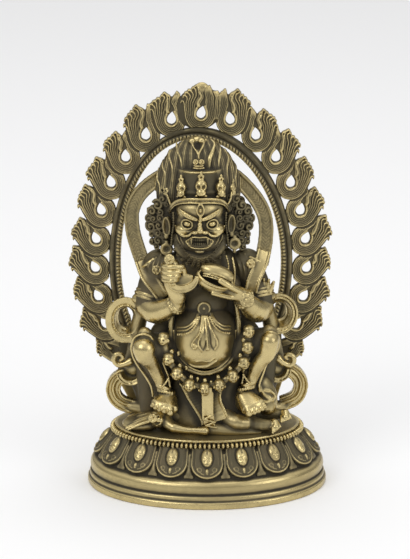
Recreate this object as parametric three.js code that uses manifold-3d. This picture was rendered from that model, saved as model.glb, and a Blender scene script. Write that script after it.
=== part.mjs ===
// A cast brass mahakala figure in millimetres, +Z up, with the viewer at -Y.
// The deity stands on a lying figure, before a flame aureole, on an oval lotus base.
// The origin is the middle of the base's flat underside.
import * as THREE from 'three';
import { mergeGeometries, mergeVertices } from 'three/addons/utils/BufferGeometryUtils.js';
import Module from 'manifold-3d';

const wasm = await Module();
wasm.setup();

// Lotus base
const DECK_HALF_WIDTH = 47.5;
const DECK_HALF_DEPTH = 31.5;
const DECK_HEIGHT = 31;
const FOOT_HEIGHT = 12.6;
const FOOT_SPREAD = 13.2;
const PETAL_SPREAD = 10.6;
const PETAL_COUNT = 16;
const PETAL_RELIEF = 2.2;
const BOSS_RELIEF = 1.2;
const BEAD_PITCH = 2.2;
const BEAD_HEIGHT = 2.6;
const BEAD_RELIEF = 1.9;
const BEAD_ROOT = 0.4;
const BEAD_DROP = 1;

// Figure, as shares of its own height
const FIGURE_HEIGHT = 147;
const POSE_SHARE = 1 / 147;
const FIGURE_BACK_SHARE = 0.0816;

// Between pieces that were cast apart
const CLEARANCE = 0.3;

// Flame aureole, measured up from the deck
const ARCH_CENTRE_X = -3.1;
const ARCH_CENTRE_HEIGHT = 79.5;
const ARCH_HALF_WIDTH = 40.4;
const ARCH_RISE = 63.8;
const ARCH_LEAN = 2.6;
const BAND_WIDTH = 5.9;
const BAND_THICKNESS = 5;
const FLAME_THICKNESS = 3.6;
const FLAME_OFFSET_SHARE = 0.557;
const FLAMES_PER_SIDE = 9;
const FLAME_SPAN = 0.7315;
const FLAME_TILT_STEP = 5;
const LEG_WIDTH = 8;
const LEG_EDGE_MARGIN = 4;
const LEG_CENTRE_X = -1.5;
const LEG_TAPER_HEIGHT = 16;
const AUREOLE_GAP = 1;
const TENON_DEPTH = 7;
const TENON_SIDE = 1.2;

const BRASS = { color: 0xb08d45, roughness: 0.38, metalness: 1 };
const BRASS_DARK = { color: 0x7d6636, roughness: 0.5, metalness: 1 };

const TAU = 2 * Math.PI;
const unit = FIGURE_HEIGHT * POSE_SHARE;

// The aureole stands just behind the figure, and its legs as far apart as the deck lets them
const aureoleY = FIGURE_BACK_SHARE * FIGURE_HEIGHT + AUREOLE_GAP + BAND_THICKNESS / 2;
const deckReach = DECK_HALF_WIDTH
  * Math.sqrt(1 - ((aureoleY + BAND_THICKNESS / 2) / DECK_HALF_DEPTH) ** 2);
const legSpread = deckReach - LEG_WIDTH / 2 - LEG_EDGE_MARGIN;

// Booleans

function solid(geometry) {
  geometry.deleteAttribute('normal');
  geometry.deleteAttribute('uv');
  const merged = mergeVertices(geometry, 1e-4);
  const index = merged.index.array;
  const triangles = [];
  for (let i = 0; i < index.length; i += 3) {
    const [a, b, c] = [index[i], index[i + 1], index[i + 2]];
    if (a !== b && b !== c && c !== a) triangles.push(a, b, c);
  }
  return new wasm.Manifold(new wasm.Mesh({
    numProp: 3,
    vertProperties: new Float32Array(merged.attributes.position.array),
    triVerts: new Uint32Array(triangles),
  }));
}

function join(pieces) {
  return pieces.reduce((whole, piece) => whole.add(piece));
}

function piece(name, shape, finish) {
  const { vertProperties, triVerts } = shape.getMesh();
  const geometry = new THREE.BufferGeometry();
  geometry.setAttribute('position', new THREE.BufferAttribute(vertProperties, 3));
  geometry.setIndex(new THREE.BufferAttribute(triVerts, 1));
  geometry.computeVertexNormals();
  const mesh = new THREE.Mesh(geometry, new THREE.MeshStandardMaterial(finish));
  mesh.name = name;
  return mesh;
}

function block(low, high) {
  const size = high.map((value, axis) => value - low[axis]);
  const middle = high.map((value, axis) => (value + low[axis]) / 2);
  return solid(new THREE.BoxGeometry(...size).translate(...middle));
}

// Lotus base

// The oval that the petals stand on, run from the middle of the front towards +X
const ovalInset = PETAL_SPREAD / 2;
const oval = new THREE.EllipseCurve(
  0, 0, DECK_HALF_WIDTH + ovalInset, DECK_HALF_DEPTH + ovalInset, -TAU / 4, 3 * TAU / 4);
const ovalLength = oval.getLength();
// How long the deck's edge is beside that oval
const RIM_SHARE = 0.9;

// Bends a lathe's rows round the oval; each row is [offset from the deck's edge, height]
// and a null offset stands for the axis
function ovalLathe(rows, segments, shift = () => [0, 0]) {
  const profile = rows.map(([offset, height]) => (
    new THREE.Vector2(offset === null ? 0 : DECK_HALF_WIDTH + offset, height)));
  const geometry = new THREE.LatheGeometry(profile, segments);
  const position = geometry.attributes.position;
  for (let i = 0; i < position.count; i += 1) {
    const column = Math.floor(i / rows.length) % segments;
    const [offset, height] = rows[i % rows.length];
    if (offset === null) {
      position.setXYZ(i, 0, 0, height);
      continue;
    }
    const turn = column / segments;
    const [outward, upward] = shift(turn, i % rows.length);
    const { x, y } = ovalPlace(turn, offset + outward);
    position.setXYZ(i, x, y, height + upward);
  }
  return solid(geometry);
}

function lotusBody() {
  const petalTop = DECK_HEIGHT - BEAD_DROP - BEAD_HEIGHT - 0.2;
  const petalFall = petalTop - FOOT_HEIGHT;
  const rows = [
    [null, 0],
    [FOOT_SPREAD, 0],
    [FOOT_SPREAD, 2.7],
    [FOOT_SPREAD - 0.8, 5.0],
    [FOOT_SPREAD - 2.1, 5.7],
    [FOOT_SPREAD - 1.4, 9.2],
    [FOOT_SPREAD - 2.6, FOOT_HEIGHT - 0.6],
    [PETAL_SPREAD - 3.0, FOOT_HEIGHT],
    [PETAL_SPREAD - 0.3, FOOT_HEIGHT + 0.12 * petalFall],
    [PETAL_SPREAD - 0.3, FOOT_HEIGHT + 0.36 * petalFall],
    [PETAL_SPREAD * 0.55, FOOT_HEIGHT + 0.8 * petalFall],
    [0, petalTop],
    [0, DECK_HEIGHT],
    [null, DECK_HEIGHT],
  ];
  const firstPetalRow = 8;
  const bossRow = 9;
  const lastPetalRow = 10;
  const columnsPerPetal = 4;
  return ovalLathe(rows, PETAL_COUNT * columnsPerPetal, (turn, row) => {
    if (row < firstPetalRow || row > lastPetalRow) return [0, 0];
    const across = 2 * Math.abs(((turn * PETAL_COUNT + 0.5) % 1) - 0.5);
    const fall = (lastPetalRow - row) / (lastPetalRow - firstPetalRow);
    const boss = row === bossRow && across === 0 ? BOSS_RELIEF : 0;
    return [boss - PETAL_RELIEF * across ** 2, 1.5 * fall * across ** 2];
  });
}

// A place on the oval plan, with the way that faces out from it
function ovalPlace(turn, offset) {
  const point = oval.getPointAt(turn);
  const tangent = oval.getTangentAt(turn);
  const reach = offset - ovalInset;
  return {
    x: point.x + tangent.y * reach,
    y: point.y - tangent.x * reach,
    heading: Math.atan2(tangent.y, tangent.x),
  };
}

function beads() {
  const count = Math.round(ovalLength * RIM_SHARE / BEAD_PITCH);
  const height = DECK_HEIGHT - BEAD_DROP - BEAD_HEIGHT / 2;
  const row = [];
  for (let i = 0; i < count; i += 1) {
    const { x, y, heading } = ovalPlace(i / count, -BEAD_ROOT);
    const bead = new THREE.OctahedronGeometry(1, 0);
    bead.scale(0.48 * BEAD_PITCH, BEAD_RELIEF + BEAD_ROOT, BEAD_HEIGHT / 2);
    bead.rotateZ(heading);
    row.push(bead.translate(x, y, height));
  }
  return solid(mergeGeometries(row));
}

function legMiddle(side) {
  return LEG_CENTRE_X + side * legSpread;
}

function tenonBox(side, clearance) {
  const half = LEG_WIDTH / 2 - TENON_SIDE + clearance;
  const depth = BAND_THICKNESS / 2 - TENON_SIDE + clearance;
  return block(
    [legMiddle(side) - half, aureoleY - depth, DECK_HEIGHT - TENON_DEPTH - clearance],
    [legMiddle(side) + half, aureoleY + depth, DECK_HEIGHT + CLEARANCE + TENON_SIDE]);
}

function lotusBase() {
  return lotusBody()
    .add(beads())
    .subtract(tenonBox(-1, CLEARANCE))
    .subtract(tenonBox(1, CLEARANCE));
}

// Flame aureole

// Stands a flat outline upright in the plane of the aureole
function upright(outline, thickness, holes = []) {
  const shape = new THREE.Shape(outline);
  holes.forEach((hole) => shape.holes.push(new THREE.Path(hole)));
  const geometry = new THREE.ExtrudeGeometry(shape, { depth: thickness, bevelEnabled: false });
  geometry.rotateX(TAU / 4);
  geometry.translate(0, aureoleY + thickness / 2, DECK_HEIGHT);
  return solid(geometry);
}

// One edge of the arch above its legs; the apex leans a little to the viewer's left
function archEdge(halfWidth, rise, lean, steps) {
  const springing = THREE.MathUtils.degToRad(-29);
  const points = [];
  for (let i = 0; i <= steps; i += 1) {
    const angle = springing + (Math.PI - 2 * springing) * (i / steps);
    const up = Math.sin(angle);
    points.push(new THREE.Vector2(
      ARCH_CENTRE_X - lean * Math.max(0, up) ** 2 + halfWidth * Math.cos(angle),
      ARCH_CENTRE_HEIGHT + rise * up));
  }
  return points;
}

function band() {
  const steps = 18;
  const outer = archEdge(ARCH_HALF_WIDTH + BAND_WIDTH, ARCH_RISE + BAND_WIDTH, ARCH_LEAN / 2, steps);
  const inner = archEdge(ARCH_HALF_WIDTH, ARCH_RISE, ARCH_LEAN, steps).reverse();
  // Each leg tapers down to its foot from its widest place, which is as wide as the arch there
  const leg = (side, inner) => {
    const foot = legMiddle(side);
    const innerFoot = new THREE.Vector2(foot - side * LEG_WIDTH / 2, CLEARANCE);
    const outerFoot = new THREE.Vector2(foot + side * LEG_WIDTH / 2, CLEARANCE);
    const shoulder = new THREE.Vector2(inner.x + side * BAND_WIDTH * 1.05, LEG_TAPER_HEIGHT);
    return side > 0 ? [innerFoot, outerFoot, shoulder] : [shoulder, outerFoot, innerFoot];
  };
  const rightLeg = leg(1, inner[inner.length - 1]);
  const leftLeg = leg(-1, inner[0]);
  const outline = [...rightLeg, ...outer, ...leftLeg, ...inner];
  return upright(outline, BAND_THICKNESS);
}

// An oval outside the band's outer edge, run down from its top on one side
function ovalPath(offset, side) {
  return new THREE.EllipseCurve(
    ARCH_CENTRE_X, ARCH_CENTRE_HEIGHT,
    ARCH_HALF_WIDTH + BAND_WIDTH + offset, ARCH_RISE + BAND_WIDTH + offset,
    TAU / 4, TAU / 4 - side * TAU / 2, side > 0);
}

// Flames stand a pitch apart along the band's outer edge, and their offset from it is a share of
// that pitch; their outlines are drawn for a pitch of 13.46
const flamePitchShare = FLAME_SPAN / (FLAMES_PER_SIDE + 1);
const flamePitch = flamePitchShare * ovalPath(0, 1).getLength();
const flameScale = flamePitch / 13.46;
const flameOffset = FLAME_OFFSET_SHARE * flamePitch;

// A flame's outline round its drop, as [away from the arch, along the flame's rise]
const FLAME_OUTLINE = [
  [-7.4, -2.6], [-5.0, -7.7], [-0.5, -8.8], [4.6, -6.8], [7.6, -2.0],
  [7.8, 6.6], [6.6, 12.0], [5.2, 10.2], [3.8, 14.4], [1.8, 11.6], [-3.4, 16.0],
  [-6.0, 8.0],
];

const DROP_OUTLINE = [
  [0.1, 4.0], [-2.1, 0.0], [-1.3, -3.0], [1.3, -3.0], [2.1, 0.0],
];

// The flame that is so many steps down from the top on one side; the lowest has no drop
function flame(step, side) {
  const middle = ovalPath(flameOffset, side).getPointAt(step * flamePitchShare);
  const tilt = THREE.MathUtils.degToRad(FLAME_TILT_STEP * step);
  const place = ([away, rise]) => new THREE.Vector2(
    middle.x + side * flameScale * (away * Math.cos(tilt) + rise * Math.sin(tilt)),
    middle.y + flameScale * (-away * Math.sin(tilt) + rise * Math.cos(tilt)));
  // A mirrored outline is read backwards, so that it still runs anticlockwise
  const placeAll = (outline) => (side < 0 ? outline.map(place).reverse() : outline.map(place));
  const holes = step > FLAMES_PER_SIDE ? [] : [placeAll(DROP_OUTLINE)];
  return upright(placeAll(FLAME_OUTLINE), FLAME_THICKNESS, holes);
}

// Jewel on the tips of the top flame, which it grows and shrinks with
function tipJewel() {
  const radius = 3.6 * flameScale;
  const tips = 12 * flameScale;
  const height = DECK_HEIGHT + ARCH_CENTRE_HEIGHT + ARCH_RISE + BAND_WIDTH + flameOffset + tips;
  const jewel = new THREE.IcosahedronGeometry(1, 1);
  jewel.scale(radius, FLAME_THICKNESS / 2, radius);
  return solid(jewel.translate(ARCH_CENTRE_X - 0.6, aureoleY, height));
}

function flameAureole() {
  const flames = [];
  for (let step = 0; step <= FLAMES_PER_SIDE + 1; step += 1) {
    flames.push(flame(step, -1), flame(step, 1));
  }
  return join([band(), ...flames, tipJewel(), tenonBox(-1, 0), tenonBox(1, 0)]);
}

// Figure; its points are [right of the viewer, back, up] from the deck at the posed height

const posed = ([x, y, z]) => new THREE.Vector3(x, y, z).multiplyScalar(unit);

// An egg; coarse ones have 8 sides, medium ones 20 and fine ones 80
const EGG = {
  coarse: () => new THREE.OctahedronGeometry(unit, 0),
  medium: () => new THREE.IcosahedronGeometry(unit, 0),
  fine: () => new THREE.IcosahedronGeometry(unit, 1),
};

function egg(middle, radii, grain = 'medium', lean = 0) {
  const geometry = EGG[grain]();
  geometry.scale(...radii);
  geometry.rotateY(lean);
  return solid(geometry.translate(...posed(middle).toArray()));
}

// A limb with round ends that follows a smooth curve through stations of [x, y, z, radius]
function limb(stations, sides = 6, [wide, deep] = [1, 1]) {
  const curve = new THREE.CatmullRomCurve3(stations.map(posed));
  const steps = stations.length - 1;
  const frames = curve.computeFrenetFrames(steps);
  const geometry = new THREE.CylinderGeometry(1, 1, 1, sides, steps);
  const position = geometry.attributes.position;
  for (let i = 0; i < position.count; i += 1) {
    const t = position.getY(i) + 0.5;
    const [x, z] = [position.getX(i), position.getZ(i)];
    const station = Math.min(Math.floor(t * (stations.length - 1)), stations.length - 2);
    const share = t * (stations.length - 1) - station;
    const radius = unit * THREE.MathUtils.lerp(stations[station][3], stations[station + 1][3], share);
    const frame = Math.round(t * steps);
    const point = curve.getPoint(t)
      .addScaledVector(frames.normals[frame], x * radius * wide)
      .addScaledVector(frames.binormals[frame], -z * radius * deep);
    // The middle of each end is pushed out, which rounds it
    if (x === 0 && z === 0) point.addScaledVector(curve.getTangent(t), Math.sign(t - 0.5) * 0.6 * radius);
    position.setXYZ(i, point.x, point.y, point.z);
  }
  return solid(geometry);
}

// A ribbon along a smooth curve; face is the way its flat side looks
function ribbon(points, width, thickness, steps, face = [0, -1, 0]) {
  const curve = new THREE.CatmullRomCurve3(points.map(posed));
  const look = new THREE.Vector3(...face);
  const geometry = new THREE.BoxGeometry(1, 1, 1, 1, 1, steps);
  const position = geometry.attributes.position;
  for (let i = 0; i < position.count; i += 1) {
    const t = position.getZ(i) + 0.5;
    const along = curve.getTangent(t);
    const side = new THREE.Vector3().crossVectors(look, along).normalize();
    const out = new THREE.Vector3().crossVectors(along, side);
    const point = curve.getPoint(t)
      .addScaledVector(side, position.getX(i) * width * unit)
      .addScaledVector(out, position.getY(i) * thickness * unit);
    position.setXYZ(i, point.x, point.y, point.z);
  }
  return solid(geometry);
}

// A scarf loop like an open trumpet: wide in front, drawn in behind, from one angle to the next
function scarfLoop(middle, [outerX, outerZ], inner, [front, back], [start, end], steps) {
  const wall = 1.6;
  const geometry = new THREE.BoxGeometry(1, 1, 1, 1, 1, steps);
  const position = geometry.attributes.position;
  for (let i = 0; i < position.count; i += 1) {
    const angle = THREE.MathUtils.degToRad(start + (end - start) * (position.getZ(i) + 0.5));
    const depth = position.getX(i) + 0.5;
    const skin = position.getY(i) * wall;
    const reachX = outerX + (inner - outerX) * depth + skin;
    const reachZ = outerZ + (inner - outerZ) * depth + skin;
    const point = posed([
      middle[0] + reachX * Math.cos(angle),
      middle[1] + front + (back - front) * depth + 0.5 * skin,
      middle[2] + reachZ * Math.sin(angle),
    ]);
    position.setXYZ(i, point.x, point.y, point.z);
  }
  return solid(geometry);
}

// A raised ring worn round a limb
function bangle([x, y, z], radius, width, [dx, dy, dz]) {
  const half = width / 2;
  return limb([
    [x - dx * half, y - dy * half, z - dz * half, radius],
    [x + dx * half, y + dy * half, z + dz * half, radius],
  ], 6);
}

// The lying figure that the deity stands on, its head to the left
function lyingFigure() {
  return join([
    limb([
      [-24, -11, 5.5, 4.6], [-12, -9, 5.5, 6], [15, -11, 5.5, 7], [28, -16, 3.8, 4], [36, -15, 2.6, 2.6],
    ], 5),
    limb([[15, -5, 5.5, 5.5], [31, -4, 4, 3.8], [42, -8, 3.4, 2.6]], 5),
    egg([-28, -14, 5.6], [5.6, 5.2, 5]),
    egg([-35, -9, 2.4], [8, 6, 3.2]),
    limb([[-20, -15, 6, 3], [-13, -20, 3, 2.7], [-26, -22, 2.6, 2]], 5),
    egg([37, -18, 2.2], [2.6, 4.8, 3.4], 'coarse'),
    egg([43, -11, 3.2], [2.6, 4.8, 3.6], 'coarse'),
  ]);
}

function foot([x, y, z], side) {
  const toes = [];
  for (let i = 0; i < 5; i += 1) {
    const size = i === 0 ? 1.9 : 1.3;
    const toe = [x + side * (i * 2.4 - 2.8), y - 11 + 0.25 * i * i, z - 4.4];
    toes.push(egg(toe, [size, 3.2, size * 1.2], 'coarse'));
  }
  const sole = limb([[x, y + 1, z - 2.4, 4.4], [x + side * 1.6, y - 7.4, z - 3.8, 5.4]]);
  return join([sole, ...toes]);
}

function legs() {
  return join([
    limb([[-7, -3, 36, 10], [-18, -11, 41, 8.8], [-29, -17.5, 45, 6.4]]),
    limb([[6, -3, 36, 10], [17, -11, 42.5, 8.8], [28.4, -17.5, 48, 6.4]]),
    limb([[-31, -19, 46.5, 5.8], [-29, -18, 36, 5.1], [-22.4, -14.2, 18, 3.8]]),
    limb([[30.4, -19, 50, 5.8], [28.2, -18, 38, 5.1], [21, -14.2, 18, 3.8]]),
    foot([-21.8, -14, 18], -1),
    foot([21.2, -14, 18], 1),
    bangle([-22.6, -14.2, 22.2], 4.7, 2.4, [-0.3, 0, 1]),
    bangle([21.2, -14.2, 24.2], 4.7, 2.4, [0.3, 0, 1]),
  ]);
}

function torso() {
  return join([
    egg([-1.2, -9.5, 50], [16.4, 16.2, 16.4], 'fine'),
    egg([-1.6, 0.6, 68], [25, 12.4, 28]),
    egg([-0.8, 2, 42], [30, 9.5, 20]),
    limb([[-2, -4, 84, 11], [-3.5, -5, 95, 8.5]]),
  ]);
}

function arms() {
  return join([
    limb([[-23, -1, 82, 8], [-28.8, -6, 64, 7]]),
    limb([[-29.4, -5, 64, 6.6], [-26, -11, 62.6, 6.4], [-15.6, -18.6, 68.6, 3.8]]),
    limb([[-15.8, -19.6, 70, 3.8], [-16.4, -22, 86, 4.8]]),
    limb([[18.4, -1, 83, 8], [26, -6, 63, 7]]),
    limb([[26.6, -5, 63, 6.6], [24.6, -11, 62.6, 6.2], [17.4, -18.6, 71.4, 3.8], [11.6, -20.8, 77, 3.6]]),
    bangle([-16, -18.6, 69.6], 4.9, 2.6, [0.2, -0.6, 0.8]),
    bangle([17.2, -18.6, 71.8], 4.9, 2.6, [-0.7, -0.5, 0.5]),
  ]);
}

// The curved flaying knife with its ringed handle, and the skull cup with its heaped contents
function attributes() {
  const blade = new THREE.Shape();
  blade.absarc(-11.5 * unit, 83 * unit, 8.6 * unit, -2.9, -0.15, false);
  blade.absarc(-11.8 * unit, 86 * unit, 8.4 * unit, -0.5, -2.6, true);
  const bladeCut = { depth: 2.4 * unit, bevelEnabled: false, curveSegments: 4 };
  const knife = new THREE.ExtrudeGeometry(blade, bladeCut);
  knife.rotateX(TAU / 4);
  knife.translate(0, -22.6 * unit, 0);
  return join([
    solid(knife),
    limb([[-17, -24, 82, 1.8], [-17.4, -24, 90, 1.8]], 5),
    egg([-17.4, -24, 92.4], [3.6, 2.6, 3.6], 'coarse'),
    limb([[-3, -22, 83, 2.8], [3.6, -22, 80.2, 6.8], [10.4, -22, 78.2, 4.2]]),
    egg([4.4, -22, 84.6], [8, 5.8, 5.4], 'coarse', 0.32),
  ]);
}

const FACE_X = -3.6;

function head() {
  const pair = (make) => [make(-1), make(1)];
  return join([
    egg([FACE_X, -5, 106], [13.4, 13.2, 15.4], 'fine'),
    limb([[FACE_X, -8.4, 99, 9.8], [FACE_X, -9, 91, 6.6]]),
    egg([-3.3, -18, 104], [3, 4, 2.8], 'coarse'),
    egg([-2.9, -16, 114], [1.6, 2.6, 2.6], 'coarse'),
    ...pair((side) => egg([FACE_X + side * 5.9, -15.4, 107.6], [3.8, 3.2, 3], 'coarse')),
    limb([[FACE_X - 9.4, -13.6, 114, 1.4], [FACE_X, -17.4, 109, 1.6], [FACE_X + 9.4, -13.6, 114, 1.4]], 4),
    limb([[FACE_X - 7, -14.6, 98.4, 1.4], [FACE_X, -17, 101.4, 2.2], [FACE_X + 7, -14.6, 98.4, 1.4]], 4),
    limb([[FACE_X - 5.6, -15.4, 95.4, 1.5], [FACE_X + 5.6, -15.4, 95.4, 1.5]], 4),
    ...pair((side) => egg([FACE_X + side * 15, -5, 104.6], [2.6, 4, 6], 'coarse')),
    ...pair((side) => egg([FACE_X + side * 16.4, 0.5, 104], [8.8, 8, 12])),
    ...pair((side) => egg([FACE_X + side * 23.4, -1, 105.6], [4, 3, 4], 'coarse')),
    ...pair((side) => egg([FACE_X + side * 16.6, -3, 94.4], [3, 3, 4.4], 'coarse')),
  ]);
}

// Hair standing up behind the crown in fluted locks
function hair() {
  const profile = [[0, -12], [19.6, -8], [21, 6], [17, 18], [8.6, 26], [0, 28.4]];
  const locks = 10;
  const geometry = new THREE.LatheGeometry(profile.map(([x, y]) => new THREE.Vector2(x, y)), locks * 2);
  const position = geometry.attributes.position;
  for (let i = 0; i < position.count; i += 1) {
    const column = Math.floor(i / profile.length) % 2;
    const flute = (1 - 0.07 * column) * unit;
    position.setXYZ(i, position.getX(i) * flute, position.getZ(i) * flute * 0.5, position.getY(i) * unit);
  }
  geometry.index.array.reverse();
  geometry.translate(-4.5 * unit, 1.4 * unit, 118.6 * unit);
  return solid(geometry).add(egg([-5, 2, 145.6], [2.8, 2.8, 2.4], 'coarse'));
}

function crown() {
  const skulls = [];
  for (let i = -2; i <= 2; i += 1) {
    const turn = i * 0.56;
    const x = FACE_X + 15 * Math.sin(turn);
    const y = -1.6 - 13.4 * Math.cos(turn);
    const z = 125 - 1.2 * i * i;
    skulls.push(egg([x, y, z], [3.2, 3, 3.8]), egg([x, y + 0.6, z + 5.4], [2, 2.2, 3], 'coarse'));
  }
  const rim = [
    [-18, -4.5, 110.5], [-14.6, -12.4, 117], [-3.6, -17.4, 120.4], [7.6, -12.4, 117.8], [11, -4.5, 112],
  ];
  return join([ribbon(rim, 3, 3, 5), egg([FACE_X, -5, 121], [17, 12.6, 10]), ...skulls]);
}

// Strings of beads on the belly, its round clasp and the tassels below it
function ornaments() {
  const cord = [];
  for (let i = 0; i <= 8; i += 1) {
    const angle = Math.PI * (1.04 + 0.92 * (i / 8));
    cord.push([-1.2 + 16.8 * Math.cos(angle), -12 + 6 * Math.sin(angle), 56 + 22.4 * Math.sin(angle)]);
  }
  return join([
    limb([[-1.5, -9, 65.6, 3.4], [-1.5, -18.6, 65.6, 3.2]]),
    limb([[-1.5, -17.6, 62.4, 1.2], [-1.4, -25, 50, 1.8]], 4),
    limb([[-8.6, -20.6, 53, 1.6], [-1.5, -18.4, 62.4, 1.2], [6, -20.9, 53, 1.6]], 4),
    ribbon(cord, 2.2, 4, 5),
  ]);
}

// Severed heads hung in a long garland below the belly
function garland() {
  const heads = [];
  const count = 10;
  for (let i = 0; i < count; i += 1) {
    const angle = Math.PI * (1.01 + 0.98 * (i / (count - 1)));
    heads.push([20.6 * Math.cos(angle), -11 + 3 * Math.sin(angle), 51 + 26 * Math.sin(angle)]);
  }
  return join(heads.map((place) => egg(place, [3, 6, 3.2], 'coarse')));
}

// Skirt between the thighs, the hanging loin strap and the drapery outside each shin
function garments() {
  return join([
    limb([[-0.4, 0, 36, 13], [-0.4, 0, 6, 13]], 8, [0.84, 1.9]),
    ribbon([[-1, -13, 24], [-0.4, -18, 14], [1.4, -23.5, 6.5], [3, -27, 1.6]], 5, 3, 3),
    ribbon([[-31, -9, 46], [-33.5, -7, 30], [-28, -7, 16], [-24, -8, 8]], 10, 3.2, 4, [1, 0, 0]),
    ribbon([[30.6, -9, 49], [32.5, -7, 32], [27.6, -7, 16], [25, -8, 8]], 10, 3.2, 4, [1, 0, 0]),
  ]);
}

// The long scarf: a halo behind the head, a loop at each elbow and folds down to the deck
function scarf() {
  const halo = [
    [-28, 3, 76], [-35, 5, 92], [-37.2, 6, 107], [-31.5, 6, 119.5], [-19, 6, 128], [-4, 6, 131],
    [11, 6, 128], [22, 6, 118], [28.4, 6, 105], [28, 5, 93], [23, 3, 78],
  ];
  return join([
    ribbon(halo, 7.4, 2.4, 12),
    scarfLoop([-40.6, 4, 53.6], [10.6, 11.8], 5, [-4, 3.4], [300, 20], 7),
    scarfLoop([36.4, 4, 56.4], [9.4, 10.4], 4.6, [-4, 3.4], [160, -120], 7),
    limb([[-29, 0, 67, 5], [-34, 1, 52, 4], [-37, 3, 27, 6.4]], 5),
    limb([[27, 0, 67, 5], [32, 1, 54, 4], [34.6, 3, 28, 6.4]], 5),
    limb([[-44.8, 3, 31.4, 3], [-38, 3, 24, 5.6], [-30, 1, 8, 4]], 5),
    limb([[41.2, 3, 31.4, 3], [35.4, 3, 25, 5.6], [29, 1, 8, 4]], 5),
    scarfLoop([-42.4, 4, 16], [9.6, 9.8], 4.8, [-3, 3], [320, 60], 7),
    scarfLoop([40.4, 4, 16.6], [11.6, 10.6], 5, [-3, 3], [120, -140], 7),
    limb([[-40, 4, 7, 2.4], [-28, 0, 6, 5]], 5),
    limb([[40, 4, 7, 2.4], [28, 0, 6, 5]], 5),
  ]);
}

function mahakalaFigure() {
  const figure = join([
    lyingFigure(), legs(), torso(), arms(), attributes(), head(), hair(), crown(), ornaments(),
    garland(), garments(), scarf(),
  ]).translate([0, 0, DECK_HEIGHT]);
  const reach = FIGURE_HEIGHT;
  const belowDeck = block([-reach, -reach, 0], [reach, reach, DECK_HEIGHT + CLEARANCE]);
  return figure.subtract(belowDeck);
}

const model = new THREE.Group();
model.add(piece('lotus_base', lotusBase(), BRASS));
model.add(piece('mahakala_figure', mahakalaFigure(), BRASS));
model.add(piece('flame_aureole', flameAureole(), BRASS_DARK));

export default model;
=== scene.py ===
"""The finish of a cast brass mahakala figure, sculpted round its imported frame.

Each piece is modelled as a field of distances in millimetres, meshed, and stored in metres.
The points are [right of the viewer, back, up from the underside of the base].
"""

from math import cos, hypot, pi, radians, sin, sqrt, tan

import bpy
import numpy as np
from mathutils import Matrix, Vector


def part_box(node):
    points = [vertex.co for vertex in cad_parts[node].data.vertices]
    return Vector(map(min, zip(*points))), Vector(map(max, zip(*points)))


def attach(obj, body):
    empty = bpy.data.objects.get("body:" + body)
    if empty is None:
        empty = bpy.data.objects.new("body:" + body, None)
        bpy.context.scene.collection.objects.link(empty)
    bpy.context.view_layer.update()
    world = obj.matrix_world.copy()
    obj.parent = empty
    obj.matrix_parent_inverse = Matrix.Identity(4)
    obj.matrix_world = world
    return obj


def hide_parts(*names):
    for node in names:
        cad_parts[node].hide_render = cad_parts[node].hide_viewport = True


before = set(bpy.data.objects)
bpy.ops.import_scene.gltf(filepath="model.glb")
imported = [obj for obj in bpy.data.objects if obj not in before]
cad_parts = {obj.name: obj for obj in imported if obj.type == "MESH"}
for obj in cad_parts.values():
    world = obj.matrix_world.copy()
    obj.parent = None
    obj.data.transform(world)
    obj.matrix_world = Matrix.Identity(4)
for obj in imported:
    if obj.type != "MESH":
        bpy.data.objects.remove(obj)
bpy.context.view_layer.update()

bl_info = {
    "name": "Cast Brass Mahakala",
    "version": (1, 0, 0),
    "blender": (4, 5, 0),
    "location": "View3D > Sidebar > Mahakala",
    "description": "Sculpts a brass figure, its flame aureole and its lotus base round a packed frame",
    "category": "Object",
}

MM = 0.001
# Distances that stand for well outside a shape, and for not found yet
FAR = 6.0
NOWHERE = 1e9
TINY = 1e-6
SIDES = (-1, 1)
FULL_TURN = 2 * pi
BODY = "root"
# How steeply the photograph's camera looks down
LOOK_DOWN = radians(16.0)


def corners_mm(node):
    """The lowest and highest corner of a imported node, in millimetres."""
    low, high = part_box(node)
    return np.array(low) / MM, np.array(high) / MM


BASE_LOW, BASE_HIGH = corners_mm("lotus_base")
AUREOLE_LOW, AUREOLE_HIGH = corners_mm("flame_aureole")
DECK = float(BASE_HIGH[2])


# Curves

def unit_vector(vector):
    """The vector at length one."""
    vector = np.asarray(vector, float)
    return vector / max(np.linalg.norm(vector), TINY)


def frame_across(normal):
    """The directions across and up a plate, and its normal, each of length one."""
    normal = unit_vector(normal)
    across = unit_vector(np.cross((0, 0, 1), normal))
    return across, np.cross(normal, across), normal


def smooth_path(stations, spacing):
    """A smooth run of rows through the stations, about one spacing apart."""
    rows = np.array(stations, float)
    before = 2 * rows[0] - rows[1]
    after = 2 * rows[-1] - rows[-2]
    rows = np.vstack([before, rows, after])
    parts = []
    for a, b, c, d in zip(rows[:-3], rows[1:-2], rows[2:-1], rows[3:]):
        steps = max(2, int(np.linalg.norm((c - b)[:3]) / spacing))
        t = np.arange(steps)[:, None] / steps
        parts.append(0.5 * (2 * b + (c - a) * t + (2 * a - 5 * b + 4 * c - d) * t ** 2
                            + (3 * b - a - 3 * c + d) * t ** 3))
    parts.append(rows[-2][None])
    return np.vstack(parts)


def smooth_step(low, high, value):
    """Nought below low, one above high, and a smooth rise between."""
    share = np.clip((value - low) / (high - low), 0, 1)
    return share * share * (3 - 2 * share)


def smooth_min(first, second, blend):
    """The lesser of two distances, rounded where they meet."""
    near = np.maximum(blend - np.abs(first - second), 0) / blend
    return np.minimum(first, second) - near * near * blend * 0.25


def saw(value, pitch):
    """How far a value lies from the middle of its pitch."""
    return (value / pitch - np.floor(value / pitch) - 0.5) * pitch


def bump_at(value, middle, width):
    """A smooth rise to one at the middle, that fades over its width."""
    return np.exp(-((value - middle) / width) ** 2)


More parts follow.
